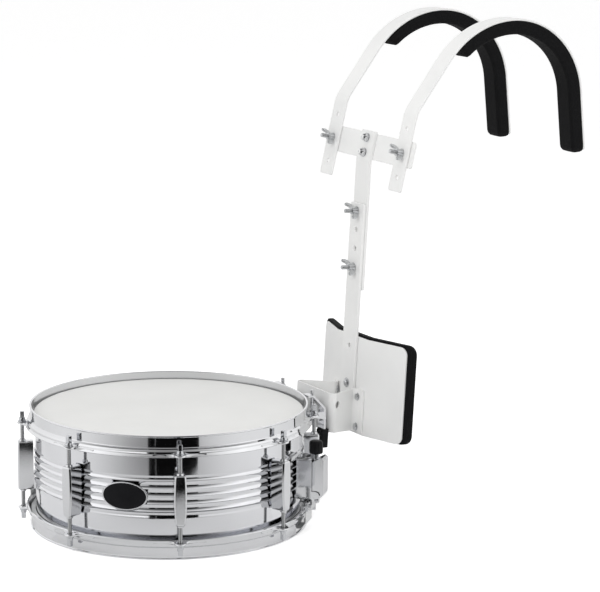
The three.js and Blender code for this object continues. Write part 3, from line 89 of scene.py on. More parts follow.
def turn(degrees, axis):
    return Matrix.Rotation(math.radians(degrees), 4, axis)


DRUM = shift(0, AXIS_Y, 0) @ Matrix.Scale(METRES, 4)
CARRIER = DRUM @ shift(*BRACKET_AT) @ turn(CARRIER_LEAN, "X")
HEAD = CARRIER @ shift(0, STRAP_FACE, CROSS_LIFT) @ turn(CROSS_LEAN, "X")
# Carries what is at the drum's top to its underside
FLIP = shift(0, 0, DRUM_HEIGHT) @ turn(180, "X")
# Turns a flat XY plate so that its own Y is Z and its thickness runs along +Y
UPRIGHT = Matrix(((1, 0, 0, 0), (0, 0, 1, 0), (0, 1, 0, 0), (0, 0, 0, 1)))
# Turns a Z axis to -Y, for what faces the front
TO_FRONT = turn(90, "X")


def station(azimuth):
    return DRUM @ turn(-azimuth, "Z")


# Nodes of materials


def feed(tree, node, sockets):
    """Sets a node's sockets, by name or number, to plain values or to other nodes' outputs."""
    for key, value in dict(sockets).items():
        if isinstance(value, bpy.types.NodeSocket):
            tree.links.new(value, node.inputs[key])
        else:
            node.inputs[key].default_value = value


def new_node(tree, kind, sockets=(), **settings):
    node = tree.nodes.new("ShaderNode" + kind)
    for key, value in settings.items():
        setattr(node, key, value)
    feed(tree, node, sockets)
    return node


def material(name, color, roughness, metallic=0.0, **sockets):
    """A material, its tree and its shader. The name of a further socket has _ for each space."""
    mat = bpy.data.materials.new(name)
    mat.use_nodes = True
    mat.diffuse_color = (*color, 1)
    tree = mat.node_tree
    shader = tree.nodes["Principled BSDF"]
    feed(tree, shader, {"Base Color": (*color, 1), "Roughness": roughness, "Metallic": metallic})
    feed(tree, shader, {key.replace("_", " "): value for key, value in sockets.items()})
    return mat, tree, shader


def coordinates(tree, scale=(1, 1, 1)):
    place = new_node(tree, "TexCoord")
    return new_node(tree, "Mapping", {"Vector": place.outputs["Object"], "Scale": scale}).outputs["Vector"]


def noise(tree, vector, scale, detail=3.0, roughness=0.5):
    sockets = {"Vector": vector, "Scale": scale, "Detail": detail, "Roughness": roughness}
    return new_node(tree, "TexNoise", sockets).outputs["Fac"]


def spread(tree, value, low, high, start=0.3, end=0.7):
    """Maps start to low and end to high, and holds what lies beyond them."""
    sockets = {"Value": value, "From Min": start, "From Max": end, "To Min": low, "To Max": high}
    return new_node(tree, "MapRange", sockets).outputs["Result"]


def colors(tree, value, *stops):
    ramp = tree.nodes.new("ShaderNodeValToRGB")
    elements = ramp.color_ramp.elements
    while len(elements) < len(stops):
        elements.new(0.5)
    for element, (position, color) in zip(elements, stops):
        element.position = position
        element.color = (*color, 1)
    tree.links.new(value, ramp.inputs["Fac"])
    return ramp.outputs["Color"]


def gray_ramp(tree, value, *stops):
    """A ramp of plain levels, which may pass 1."""
    curve = new_node(tree, "FloatCurve", {"Value": value})
    curve.mapping.use_clip = False
    points = curve.mapping.curves[0].points
    while len(points) < len(stops):
        points.new(0.5, 0.5)
    for point, (position, level) in zip(points, stops):
        point.location = (position, level)
        point.handle_type = "VECTOR"
    curve.mapping.update()
    return curve.outputs["Value"]


def bump(tree, height, strength, distance):
    sockets = {"Height": height, "Strength": strength, "Distance": distance}
    return new_node(tree, "Bump", sockets).outputs["Normal"]


def math_node(tree, operation, *values):
    return new_node(tree, "Math", dict(enumerate(values)), operation=operation).outputs["Value"]


# Materials: low and high are the ends of a roughness range, and grain is the strength of a relief


def surface(name, color, roughness, metallic=0.0, tone=None, rough=None, relief=None, **sockets):
    """A material whose colour, roughness and relief follow noises, each where it is given.

    tone is (scale, detail, first stop, last stop), rough is (scale, detail, low, high) and relief is (scale,
    detail, strength, distance).
    """
    mat, tree, shader = material(name, color, roughness, metallic, **sockets)
    place = coordinates(tree)
    if tone:
        feed(tree, shader, {"Base Color": colors(tree, noise(tree, place, *tone[:2]), *tone[2:])})
    if rough:
        feed(tree, shader, {"Roughness": spread(tree, noise(tree, place, *rough[:2]), *rough[2:])})
    if relief:
        feed(tree, shader, {"Normal": bump(tree, noise(tree, place, *relief[:2]), *relief[2:])})
    return mat


def chrome(name, color=(0.74, 0.745, 0.765), low=0.035, high=0.10, grain=0.012):
    dark = tuple(c * 0.94 for c in color)
    return surface(name, color, 0.06, 1.0, tone=(9, 2, (0.35, dark), (0.65, color)), rough=(38, 5, low, high),
                   relief=(260, 2, grain, 0.0004))


def brushed(name, color, low, high, stretch=(1, 1, 30)):
    mat, tree, shader = material(name, color, 0.3, 1.0)
    lines = noise(tree, coordinates(tree, stretch), scale=300, detail=4)
    feed(tree, shader, {
        "Roughness": spread(tree, lines, low, high),
        "Normal": bump(tree, lines, 0.05, 0.0002)})
    return mat


def threaded(name, color):
    mat, tree, shader = material(name, color, 0.25, 1.0)
    place = coordinates(tree)
    wave = new_node(tree, "TexWave", {"Vector": place, "Scale": 300, "Distortion": 0}, wave_type="BANDS",
                    bands_direction="Z")
    feed(tree, shader, {
        "Roughness": spread(tree, noise(tree, place, scale=120), 0.12, 0.3),
        "Normal": bump(tree, wave.outputs["Fac"], 0.35, 0.0004)})
    return mat


def powder_coat(name):
    tone = (14, 3, (0.35, (0.81, 0.812, 0.805)), (0.65, (0.845, 0.845, 0.835)))
    return surface(name, (0.83, 0.83, 0.82), 0.36, tone=tone, rough=(60, 4, 0.30, 0.42),
                   relief=(900, 2, 0.10, 0.0003), Coat_Weight=0.15, Coat_Roughness=0.25)


def coated_film(name):
    mat, tree, shader = material(name, (0.83, 0.83, 0.81), 0.6)
    place = coordinates(tree)
    tone = noise(tree, place, scale=7, detail=4, roughness=0.6)
    grit = noise(tree, place, scale=1100, detail=4, roughness=0.7)
    feed(tree, shader, {
        "Base Color": colors(tree, tone, (0.3, (0.80, 0.80, 0.785)), (0.7, (0.845, 0.845, 0.83))),
        "Roughness": spread(tree, noise(tree, place, scale=420), 0.5, 0.72),
        "Normal": bump(tree, grit, 0.35, 0.0002)})
    return mat


def clear_film(name):
    tone = (5, 2, (0.3, (0.68, 0.69, 0.69)), (0.7, (0.75, 0.76, 0.76)))
    return surface(name, (0.72, 0.73, 0.73), 0.28, tone=tone, relief=(60, 2, 0.04, 0.0005), Coat_Weight=0.4)


def foam(name):
    mat, tree, shader = material(name, (0.004, 0.004, 0.0045), 0.95, Sheen_Weight=0.02, Sheen_Roughness=0.5,
                                 Specular_IOR_Level=0.2)
    place = coordinates(tree)
    cells = new_node(tree, "TexVoronoi", {"Vector": place, "Scale": 620}).outputs["Distance"]
    waves = math_node(tree, "MULTIPLY", noise(tree, place, scale=45), 1.2)
    feed(tree, shader, {
        "Base Color": colors(tree, cells, (0.1, (0.002, 0.002, 0.0024)), (0.8, (0.007, 0.007, 0.0075))),
        "Normal": bump(tree, math_node(tree, "ADD", cells, waves), 0.6, 0.0006)})
    return mat


def plastic(name, color, low, high, grain=0.15, scale=700):
    light = tuple(c * 1.5 + 0.002 for c in color)
    return surface(name, color, 0.4, tone=(30, 3, (0.35, color), (0.7, light)), rough=(40, 3, low, high),
                   relief=(scale, 3, grain, 0.0002), Specular_IOR_Level=0.12)


CHROME = chrome("chrome_plate")
CHROME_HOOP = chrome("chrome_hoop", (0.75, 0.755, 0.77), 0.03, 0.08)
CHROME_CAST = chrome("chrome_casting", (0.68, 0.685, 0.70), 0.06, 0.14, 0.03)
ROD_STEEL = chrome("chrome_rod", (0.62, 0.63, 0.65), 0.08, 0.18, 0.02)
THREAD = threaded("rolled_thread", (0.40, 0.405, 0.41))
ZINC = brushed("zinc_plate", (0.60, 0.61, 0.62), 0.18, 0.38)
WIRE = brushed("steel_wire_coils", (0.62, 0.63, 0.64), 0.22, 0.4, stretch=(700, 700, 700))
WHITE = powder_coat("white_powder_coat")
FILM = coated_film("coated_film")
CLEAR = clear_film("hazy_film")
FOAM = foam("cloth_faced_foam")
BLACK = plastic("black_plastic", (0.006, 0.006, 0.0065), 0.28, 0.5)
RUBBER = plastic("black_rubber", (0.008, 0.008, 0.0085), 0.6, 0.85, grain=0.3, scale=400)
BADGE = plastic("badge_enamel", (0.004, 0.004, 0.005), 0.12, 0.2, grain=0.02)


# Solids: each is a pair of vertices and faces

TINY = 1e-9
STRAIGHT = math.pi - 0.01
# The most of a side that a rounded corner may take
CORNER_SHARE = 0.49
# How far cutters run past what they cut
PAST = 8.0


def rounded(before, here, after, radius, steps):
    """The arc that rounds a corner, or the corner itself where it can't be rounded."""
    here = Vector(here)
    back, ahead = Vector(before) - here, Vector(after) - here
    if radius <= 0 or min(back.length, ahead.length) < TINY or back.angle(ahead) > STRAIGHT:
        return [tuple(here)]
    half = back.angle(ahead) / 2
    reach = min(radius / math.tan(half), min(back.length, ahead.length) * CORNER_SHARE)
    radius = reach * math.tan(half)
    back.normalize()
    ahead.normalize()
    centre = here + (back + ahead).normalized() * (radius / math.sin(half))
    start, end = here + back * reach - centre, here + ahead * reach - centre
    return [tuple(centre + start.lerp(end, k / steps).normalized() * radius) for k in range(steps + 1)]


def fillet(points, steps=3, radius=0.0):
    """A closed outline with rounded corners. A point's third number, where it has one, is its own radius."""
    result = []
    for i, (x, y, *own) in enumerate(points):
        before, after = points[i - 1][:2], points[(i + 1) % len(points)][:2]
        result += rounded(before, (x, y), after, own[0] if own else radius, steps)
    return result


def rounded_path(points, radius, steps):
    """An open path with its inner corners rounded."""
    result = [points[0]]
    for before, here, after in zip(points, points[1:], points[2:]):
        result += rounded(before, here, after, radius, steps)
    return result + [points[-1]]


def placed(points, across, up):
    """An outline moved across and up. A point's own radius stays with it."""
    return [(across + x, up + y, *own) for x, y, *own in points]


def lathe(outline, steps=32):
    """Revolves an outline of (radius, height) about Z. Points on the axis are shared."""
    verts, faces, rings = [], [], []
    for radius, height in outline:
        if radius < TINY:
            rings.append([len(verts)] * steps)
            verts.append((0, 0, height))
            continue
        rings.append(list(range(len(verts), len(verts) + steps)))
        verts += [(x, y, height) for x, y in circle(radius, steps)]
    for low, high in zip(rings, rings[1:] + rings[:1]):
        if low[0] == low[1] and high[0] == high[1]:
            continue
        for k in range(steps):
            m = (k + 1) % steps
            face = [low[k], low[m], high[m], high[k]]
            faces.append([v for j, v in enumerate(face) if v != face[j - 1]])
    return verts, faces


def loft(rings, closed=False):
    """Joins rings of equal point counts, with a cap at each end unless the rings close on themselves."""
    count, levels = len(rings[0]), len(rings)
    verts = [p for ring in rings for p in ring]
    faces = []
    for level in range(levels if closed else levels - 1):
        this, following = level * count, (level + 1) % levels * count
        for i in range(count):
            j = (i + 1) % count
            faces.append([this + i, this + j, following + j, following + i])
    if not closed:
        faces.append(list(range(count))[::-1])
        faces.append([(levels - 1) * count + i for i in range(count)])
    return verts, faces


def tunnel(outline, start, end, axis):
    """A straight prism through an outline, along Y or Z, for cutting."""
    if axis == "Y":
        return loft([[(x, y, z) for x, z in outline] for y in (start, end)])
    return loft([[(x, y, z) for x, y in outline] for z in (start, end)])


def moved(solid, matrix):
    verts, faces = solid
    return [tuple(matrix @ Vector(v)) for v in verts], faces


def quarter_round(share):
    """How far an edge has fallen, from 0 to 1, a share of the way round a quarter circle."""
    return 1 - math.sqrt(max(1 - share ** 2, 0))


def joined(*solids):
    verts, faces = [], []
    for more_verts, more_faces in solids:
        start = len(verts)
        verts += more_verts
        faces += [[start + i for i in face] for face in more_faces]
    return verts, faces


def plate(outline, thickness, edge, edge_steps=3, holes=()):
    """A flat plate in the XY plane from z = 0 to z = thickness, with rounded edges and real holes."""
    curve = bpy.data.curves.new("temp", "CURVE")
    curve.dimensions = "2D"
    curve.fill_mode = "BOTH"
    curve.extrude = thickness / 2 - edge
    curve.bevel_depth = edge
    curve.bevel_resolution = edge_steps
    curve.offset = -edge
    for points in (outline, *holes):
        spline = curve.splines.new("POLY")
        spline.points.add(len(points) - 1)
        for target, (x, y) in zip(spline.points, points):
            target.co = (x, y, 0, 1)
        spline.use_cyclic_u = True
    holder = bpy.data.objects.new("temp", curve)
    bpy.context.scene.collection.objects.link(holder)
    mesh = evaluated_mesh(holder)
    verts = [(v.co.x, v.co.y, v.co.z + thickness / 2) for v in mesh.vertices]
    faces = [list(p.vertices) for p in mesh.polygons]
    bpy.data.objects.remove(holder)
    bpy.data.curves.remove(curve)
    bpy.data.meshes.remove(mesh)
    return verts, faces


def circle(radius, steps, x=0, y=0, start=0.0):
    """Points round a circle, the first of them at a start angle in degrees."""
    angles = [math.radians(start) + 2 * math.pi * k / steps for k in range(steps)]
    return [(x + radius * math.cos(a), y + radius * math.sin(a)) for a in angles]


def rectangle(width, height, radius=0.0, middle=(0, 0), steps=6):
    x, y = width / 2, height / 2
    return placed(fillet([(-x, -y), (x, -y), (x, y), (-x, y)], steps, radius), *middle)


def sheet_outline(path, thickness):
    """The two sides of a sheet along a path of 2D points, mitred, as one closed outline."""
    normals = []
    for (x0, y0), (x1, y1) in zip(path, path[1:]):
        normals.append(Vector((y0 - y1, x1 - x0)).normalized())
    left, right = [], []
    for i, (x, y) in enumerate(path):
        before, after = normals[max(i - 1, 0)], normals[min(i, len(normals) - 1)]
        mitre = (before + after).normalized()
        mitre *= thickness / 2 / mitre.dot(before)
        left.append((x + mitre.x, y + mitre.y))
        right.append((x - mitre.x, y - mitre.y))
    return left + right[::-1]


# Objects and pieces

# Distances in metres at which points are merged, in new solids and in packed ones
MERGE = 1e-7
MERGE_PACKED = 1e-6
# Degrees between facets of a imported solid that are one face
FLAT = 0.6


def evaluated_mesh(obj):
    bpy.context.view_layer.update()
    return bpy.data.meshes.new_from_object(obj.evaluated_get(bpy.context.evaluated_depsgraph_get()))


def modify(obj, kind, **settings):
    """Gives an object one modifier and applies it."""
    modifier = obj.modifiers.new(kind, kind)
    for key, value in settings.items():
        setattr(modifier, key, value)
    mesh, old = evaluated_mesh(obj), obj.data
    obj.modifiers.clear()
    mesh.name = obj.name
    obj.data = mesh
    bpy.data.meshes.remove(old)


def linked(name, mesh):
    obj = bpy.data.objects.new(name, mesh)
    bpy.context.scene.collection.objects.link(obj)
    return obj


def removed(obj):
    mesh = obj.data
    bpy.data.objects.remove(obj)
    bpy.data.meshes.remove(mesh)


def clean(mesh, merge, flat=None):
    """Merges points, joins faces that lie in one plane if flat is given, and turns all faces outward."""
    work = bmesh.new()
    work.from_mesh(mesh)
    bmesh.ops.remove_doubles(work, verts=work.verts, dist=merge)
    if flat:
        bmesh.ops.dissolve_limit(work, angle_limit=math.radians(flat), verts=work.verts, edges=work.edges)
    bmesh.ops.recalc_face_normals(work, faces=work.faces)
    work.to_mesh(mesh)
    work.free()


def raw_object(name, verts, faces):
    mesh = bpy.data.meshes.new(name)
    mesh.from_pydata(verts, [], faces)
    mesh.validate()
    clean(mesh, MERGE)
    return linked(name, mesh)


def cut(obj, cutters):
    """Takes solids away from a finished object."""
    for solid, matrix in cutters:
        tool = raw_object("cutter", *moved(solid, matrix))
        modify(obj, "BOOLEAN", operation="DIFFERENCE", solver="EXACT", object=tool)
        removed(tool)


def soften(obj, width, segments=2, angle=32):
    """Rounds sharp edges by a width in millimetres."""
    modify(obj, "BEVEL", width=width * METRES, segments=segments, limit_method="ANGLE",
           angle_limit=math.radians(angle), use_clamp_overlap=True)


def shade(obj, angle):
    """Smooth shading that leaves the broad faces true, so that reflections run straight over them."""
    for polygon in obj.data.polygons:
        polygon.use_smooth = True
    obj.data.set_sharp_from_angle(angle=math.radians(angle))
    modify(obj, "WEIGHTED_NORMAL", keep_sharp=True, weight=100)


def finish(obj, mat, body, replaces, smooth):
    """Shades a piece, gives it its material, hangs it on its body's empty and hides the nodes it stands for.
    """
    shade(obj, smooth)
    obj.data.materials.clear()
    obj.data.materials.append(mat)
    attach(obj, body)
    if replaces:
        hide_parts(*replaces)
    return obj


def piece(name, solid, matrix, mat, body, replaces=(), edge=0.0, smooth=35, cutters=()):
    obj = raw_object(name, *moved(solid, matrix))
    cut(obj, [(tool, matrix @ place) for tool, place in cutters])
    if edge:
        soften(obj, edge)
    return finish(obj, mat, body, replaces, smooth)


def dressed(node, mat, body, edge, smooth=40, segments=3):
    """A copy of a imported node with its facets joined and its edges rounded, shown in its place."""
    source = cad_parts[node]
    mesh = source.data.copy()
    mesh.transform(source.matrix_world)
    clean(mesh, MERGE_PACKED, FLAT)
    obj = linked(node + "_finished", mesh)
    if edge:
        soften(obj, edge, segments)
    return finish(obj, mat, body, [node], smooth)


# Drum: shell and heads

# The bearing edge's height, and its section as (radius from the shell's, height from the edge, rounding)
EDGE_TOP = 151.0
EDGE_SECTION = [(-1.5, -3.9, 0.8), (-6.5, -3.9, 0.5), (-6.5, -2.4, 0.5), (-3.0, 0, 0.5), (-1.6, 0, 0.5),
                (0, -3.0, 0.6)]
BEAD_COUNT = 5
BEAD_PITCH = 9.8
BEAD_RISE = 0.5
CREST_RADIUS = SHELL_RADIUS + 1.6
HOLLOW_DEPTH = 1.7
END_SLOPE = 4.3
# Past the upper and the lower end slope the wall is drawn in, and comes back over a height
UPPER_DRAW, UPPER_RETURN = 0.5, 3.6
LOWER_DRAW, LOWER_RETURN = 0.6, 6.4

# The head above the edge: its film's underside and thickness
HEAD_GAP = 0.3
HEAD_FILM = 0.8
# The film's bend and the flesh hoop round its foot, from the shell's radius and the edge
HEAD_SECTION = [(0.1, 0.3), (0.6, -0.4), (0.6, -10.5), (6.2, -10.5), (6.2, -8.2), (4.7, -6.6), (1.5, -6.4),
                (1.3, -0.4), (1.1, 0.3), (0.4, 0.8), (-1.3, 1.0), (-6.8, 1.1)]


def band_end(crest, draw, back, way, steps=5):
    """The wall away from an end crest: a slope down, then an easy return to the shell's radius."""
    foot = SHELL_RADIUS - draw
    shares = [k / steps for k in range(1, steps + 1)]
    slope = [(foot + (CREST_RADIUS - foot) * (1 - t) ** 2, END_SLOPE * t) for t in shares]
    slope += [(foot + draw * (1 - math.cos(math.pi * t)) / 2, END_SLOPE + back * t) for t in shares]
    return [(radius, crest + way * fall) for radius, fall in slope]


def corrugation(steps=12):
    """The pressed band, from its upper end down: narrow crests with rounded hollows between them."""
    crests = [MIDDLE + BEAD_RISE + BEAD_PITCH * (BEAD_COUNT // 2 - i) for i in range(BEAD_COUNT)]
    points = band_end(crests[0], UPPER_DRAW, UPPER_RETURN, 1)[::-1] + [(CREST_RADIUS, crests[0])]
    for crest in crests[1:]:
        for k in range(1, steps + 1):
            share = 2 * k / steps - 1
            hollow = HOLLOW_DEPTH * (1 - share ** 2)
            points.append((CREST_RADIUS - hollow, crest + BEAD_PITCH / 2 * (1 - share)))
    return points + band_end(crests[-1], LOWER_DRAW, LOWER_RETURN, -1)


def build_shell():
    upper = fillet(placed(EDGE_SECTION, SHELL_RADIUS, EDGE_TOP))
    lower = [(r, DRUM_HEIGHT - z) for r, z in upper][::-1]
    solid = lathe(upper + corrugation() + lower, 256)
    piece("shell_finished", solid, DRUM, CHROME, ROOT, ["shell"], smooth=50)


def build_heads():
    under = EDGE_TOP + HEAD_GAP
    bend = placed(HEAD_SECTION, SHELL_RADIUS, EDGE_TOP)
    head = lathe([(0, under), *bend, (0, under + HEAD_FILM)], 192)
    piece("batter_skin", head, DRUM, FILM, ROOT, ["batter_head"], smooth=40)
    piece("snare_skin", head, DRUM @ FLIP, CLEAR, ROOT, ["snare_head"], smooth=40)


# Drum: hoops, each a lip, a wall, a sloping step and a skirt that flares out at its foot

HOOP_WALL = 182.0
HOOP_SHEET = 2.0
# The step and the skirt inside and outside, from the wall's inner face and the middle height of the step
STEP_AT = 145.0
SKIRT_INSIDE = [(0, 0, 0.3), (1.2, -0.4, 1.0), (3.4, -2.6, 1.6), (4.2, -5.5, 2), (5.2, -10, 0.5)]
SKIRT_OUTSIDE = [(7.6, -10, 0.5), (8.2, -9.3, 0.5), (7.5, -7.8, 2), (6.3, -5.4, 3), (6.1, -3, 1.4),
                 (5.1, -0.8, 1.6), (2, 1.4, 1.8)]
# The lip at the top, from the wall's outer face and the drum's height
LIP_SECTION = [(0, -2.4, 0.4), (1.0, -1.6, 0.5), (1.0, 0, 0.8)]
LIP_INNER_ROUND = 0.8

# The ear from above: its edge is pulled from its wing's end to its shoulder, and its nose is round
WING_END = (34.0, 186.4)
WING_PULL = (11.0, 187.6)
EAR_SHOULDER = (7.6, 194.0)
EAR_NOSE = 7.5
EAR_HOLE = 3.4
# The ear's section: radii of the skirt at its root and under its arch, its heights, and its edge's rounding
EAR_ROOT = 188.4
EAR_BACK = 187.0
EAR_TOP, EAR_RISE = 139.4, 0.6
ARCH_FOOT, ARCH_RISE = 137.2, 5.8
ARCH_SPAN = 3.4
ARCH_OVERLAP = 1.4
EAR_UNDER, UNDER_RISE = 135.6, 1.9
EAR_EDGE = 1.3
# The reach at which an ear has its full height, and the least reach that it has
FULL_REACH = 8
LEAST_REACH = 0.2

# The gates in the bottom hoop, where the snare straps pass
GATE_WIDTH = 46
GATE_HEIGHT = 10.4
GATE_MIDDLE = 7.5
GATE_CORNER = 2.2


def hoop_solid():
    skirt = placed(SKIRT_INSIDE + SKIRT_OUTSIDE, HOOP_WALL, STEP_AT)
    lip = placed(LIP_SECTION, HOOP_WALL + HOOP_SHEET, DRUM_HEIGHT)
    return lathe(fillet([(HOOP_WALL, DRUM_HEIGHT, LIP_INNER_ROUND), *skirt, *lip], 5), 240)


def ear_flank(wing_steps=14, nose_steps=6):
    """The ear's edge from the end of its wing to its nose, as points of (tangent, radius)."""
    points = []
    for k in range(wing_steps + 1):
        t = k / wing_steps
        points.append(tuple(a * (1 - t) ** 2 + 2 * b * t * (1 - t) + c * t ** 2
                            for a, b, c in zip(WING_END, WING_PULL, EAR_SHOULDER)))
    width, radius = EAR_SHOULDER
    for k in range(1, nose_steps + 1):
        a = math.pi / 2 * k / nose_steps
        points.append((width * math.cos(a), radius + EAR_NOSE * math.sin(a)))
    return points


def ear_section(x, out):
    """The ear's section at a tangent place, as (radius, height): arch, rounded nose and underside."""
    root, back = math.sqrt(EAR_ROOT ** 2 - x * x), math.sqrt(EAR_BACK ** 2 - x * x)
    reach = max(out - root, LEAST_REACH)
    tip = root + reach
    swell = min(reach / FULL_REACH, 1)
    top = EAR_TOP + EAR_RISE * swell
    edge = min(EAR_EDGE, reach * 0.4)
    foot = ARCH_FOOT + ARCH_RISE * swell ** 0.6
    span = min(reach, ARCH_SPAN) + ARCH_OVERLAP
    arch = [(back + span * t, foot + (top - foot) * (1 - (1 - t) ** 2.2)) for t in (0, 0.2, 0.4, 0.6, 0.8, 1)]
    turns = (0, 0.4, 0.8, 1.2, math.pi / 2)
    nose = [(tip - edge * (1 - math.sin(a)), top - edge * (1 - math.cos(a))) for a in turns]
    under = EAR_UNDER + min(reach * 0.16, UNDER_RISE)
    low = [(tip, under + 0.8), (tip - edge * 0.4, under + 0.1), (tip - edge, under), (root, EAR_UNDER)]
    return arch + nose + low


def ear_solid():
    """An ear that swells out of the skirt in two wings, with its rod's hole."""
    half = ear_flank()
    flank = half + [(-x, out) for x, out in half[:-1]][::-1]
    obj = raw_object("ear_work", *loft([[(x, y, z) for y, z in ear_section(x, out)] for x, out in flank]))
    hole = tunnel(circle(EAR_HOLE, 24, y=ROD_CIRCLE), EAR_UNDER - PAST, EAR_TOP + PAST, "Z")
    cut(obj, [(hole, Matrix.Identity(4))])
    solid = [tuple(v.co) for v in obj.data.vertices], [list(f.vertices) for f in obj.data.polygons]
    removed(obj)
    return solid


def build_hoops():
    ear = ear_solid()
    ears = joined(*[moved(ear, turn(-azimuth, "Z")) for azimuth in EARS])
    ring = hoop_solid()
    piece("top_rim", joined(ring, ears), DRUM, CHROME_HOOP, ROOT, ["top_hoop"], smooth=42)
    rim = raw_object("bottom_rim", *moved(ring, DRUM @ FLIP))
    gate = rectangle(GATE_WIDTH, GATE_HEIGHT, GATE_CORNER, (0, GATE_MIDDLE))
    window = tunnel(gate, HOOP_WALL - PAST, EAR_ROOT + PAST, "Y")
    cut(rim, [(window, station(azimuth)) for azimuth in (STRAINER_AT, BUTT_AT)])
    soften(rim, 0.35)
    rim_ears = raw_object("rim_ears", *moved(ears, DRUM @ FLIP))
    both = [rim, rim_ears]
    with bpy.context.temp_override(active_object=rim, selected_editable_objects=both, selected_objects=both):
        bpy.ops.object.join()
    finish(rim, CHROME_HOOP, ROOT, ["bottom_hoop"], 42)


# Drum: lugs and rods

# A casting's half height, its back and face radii, its width, and how much that narrows at its ends
LUG_HALF = 33
LUG_BACK = 180.4
LUG_FACE = 201.0
LUG_WIDTH = 16.4
LUG_NARROW_FOOT = 4.6
LUG_NARROW_TOP = 2.2
LUG_BEVEL = (1.7, 2.0)
LUG_ROUND = 0.8
# Insets that round a casting's ends, by distance from the end
LUG_END = [(0, 1.6), (0.4, 0.8), (1.4, 0.2), (2.4, 0)]
LUG_BODY = LUG_HALF - 3
# Half of the tube round the rods, as (radius, height, rounding)
TUBE_END = [(5.2, 31), (4.6, 33.5, 0.8), (3.9, 35.4, 0.5), (0, 35.4)]

# The rod: heights of its tip and its shaft's top, its radii, and the thread's end
ROD_TIP = 95.2
ROD_SHAFT_TOP = 142
ROD_RADIUS = 2.6
THREAD_TOP = 140.2
ROD_END = [(0, 0), (1.9, 0), (2.5, 1.0), (ROD_RADIUS, 1.8)]
# The washer and the collar above it, from the thread's end
WASHER = [(3.0, 0), (5.3, 0, 0.4), (5.3, 1.5, 0.4), (3.0, 1.5)]
COLLAR = [(0, 1.3), (4.4, 1.6), (4.6, 2.0), (4.4, 2.9), (4.0, 3.7), (3.9, 5.6), (0, 5.6)]
KEY_SIDE = 5.8
KEY_CORNER = 0.9
KEY_HEIGHT = 8.5
KEY_FOOT = 145.4


def lug_ring(level, inset=0.0):
    """A section of a casting: it has a broad flat face, and narrows more at its foot than at its top."""
    reach = abs(level) / LUG_HALF
    narrow = LUG_NARROW_FOOT if level < 0 else LUG_NARROW_TOP
    half = (LUG_WIDTH - narrow * reach * reach) / 2 - inset
    face = LUG_FACE - inset
    width, depth = LUG_BEVEL
    side = [(half - width, face, LUG_ROUND), (half, face - depth, LUG_ROUND), (half, LUG_BACK)]
    corners = [(-x, *rest) for x, *rest in side][::-1] + side
    return [(x, y, level) for x, y in fillet(corners)]


def build_lugs(steps=20):
    foot = [(inset_at - LUG_HALF, inset) for inset_at, inset in LUG_END]
    levels = foot + [(LUG_BODY * (2 * k / steps - 1), 0) for k in range(steps + 1)]
    levels += [(-z, inset) for z, inset in foot][::-1]
    body = loft([lug_ring(level, inset) for level, inset in levels])
    tube = [(r, -z, *own) for r, z, *own in TUBE_END][::-1] + TUBE_END
    solid = joined(body, moved(lathe(fillet(tube)), shift(0, ROD_CIRCLE, 0)))
    for number, azimuth in enumerate(EARS, 1):
        piece(f"lug_{number}_casting", solid, station(azimuth) @ shift(0, 0, MIDDLE), CHROME_CAST, ROOT,
              [f"lug_{number}"])


def rod_solid():
    shaft = placed(ROD_END, 0, ROD_TIP) + [(ROD_RADIUS, ROD_SHAFT_TOP), (0, ROD_SHAFT_TOP)]
    washer, collar = fillet(placed(WASHER, 0, THREAD_TOP)), placed(COLLAR, 0, THREAD_TOP)
    head = plate(rectangle(KEY_SIDE, KEY_SIDE, KEY_CORNER), KEY_HEIGHT, 0.8)
    return joined(lathe(shaft, 24), lathe(washer), lathe(collar), moved(head, shift(0, 0, KEY_FOOT)))


def build_rods():
    rod = rod_solid()
    for number, azimuth in enumerate(EARS, 1):
        at = station(azimuth) @ shift(0, ROD_CIRCLE, 0)
        for end, place in (("top", at), ("bottom", at @ FLIP)):
            node = f"{end}_rod_{number}"
            key = piece(f"{node}_key", rod, place, ROD_STEEL, node, [node])
            key.data.materials.append(THREAD)
            back = place.inverted()
            for polygon in key.data.polygons:
                x, y, z = back @ polygon.center
                polygon.material_index = int(z < THREAD_TOP and math.hypot(x, y) < ROD_RADIUS + 0.2)


# Drum: badge, bent to the beads

BADGE_WIDTH, BADGE_HEIGHT = 62, 37
BADGE_SEAT = 180.1
# Levels as (share of the half axes, height off the beads)
BADGE_FACE = [(0.90, 0.2), (0.94, 0.75), (0.90, 0.95), (0.6, 1.05), (0.25, 1.1), (0.02, 1.1)]
BADGE_RIM = [(1.0, 0), (1.0, 1.0), (0.985, 1.3), (0.955, 1.35), (0.93, 1.1), (0.925, 0.3), (0.925, 0)]


def oval_rings(levels, steps=72):
    rings = []
    for share, rise in levels:
        oval = [(x * BADGE_WIDTH / 2, z * BADGE_HEIGHT / 2) for x, z in circle(share, steps)]
        rings.append([(x, math.sqrt(BADGE_SEAT ** 2 - x * x) + rise, MIDDLE + z) for x, z in oval])
    return rings


def build_badge():
    face, rim = loft(oval_rings(BADGE_FACE)), loft(oval_rings(BADGE_RIM), closed=True)
    piece("badge_face", face, station(BADGE_AT), BADGE, ROOT, ["badge"], smooth=60)
    piece("badge_rim", rim, station(BADGE_AT), CHROME, ROOT, smooth=50)


# Drum: strainer, butt plate and snares

KNOB_AT = 202.9
KNOB_RADIUS = 9.0
# The knob's side as (share of its radius, height)
KNOB_SIDE = [(0.80, 107.0), (0.93, 107.3), (0.985, 108.2), (1.0, 109.5), (1.0, 119.0), (0.985, 121.0),
             (0.93, 122.5), (0.80, 123.7), (0.55, 124.3), (0.25, 124.5)]
FLUTE_COUNT = 12
FLUTE_DEPTH = 0.075
# Its screw's radius, foot and top
KNOB_SCREW = (2.9, 88, 108)
THREAD_PITCH = 1.0
THREAD_DEPTH = 0.35


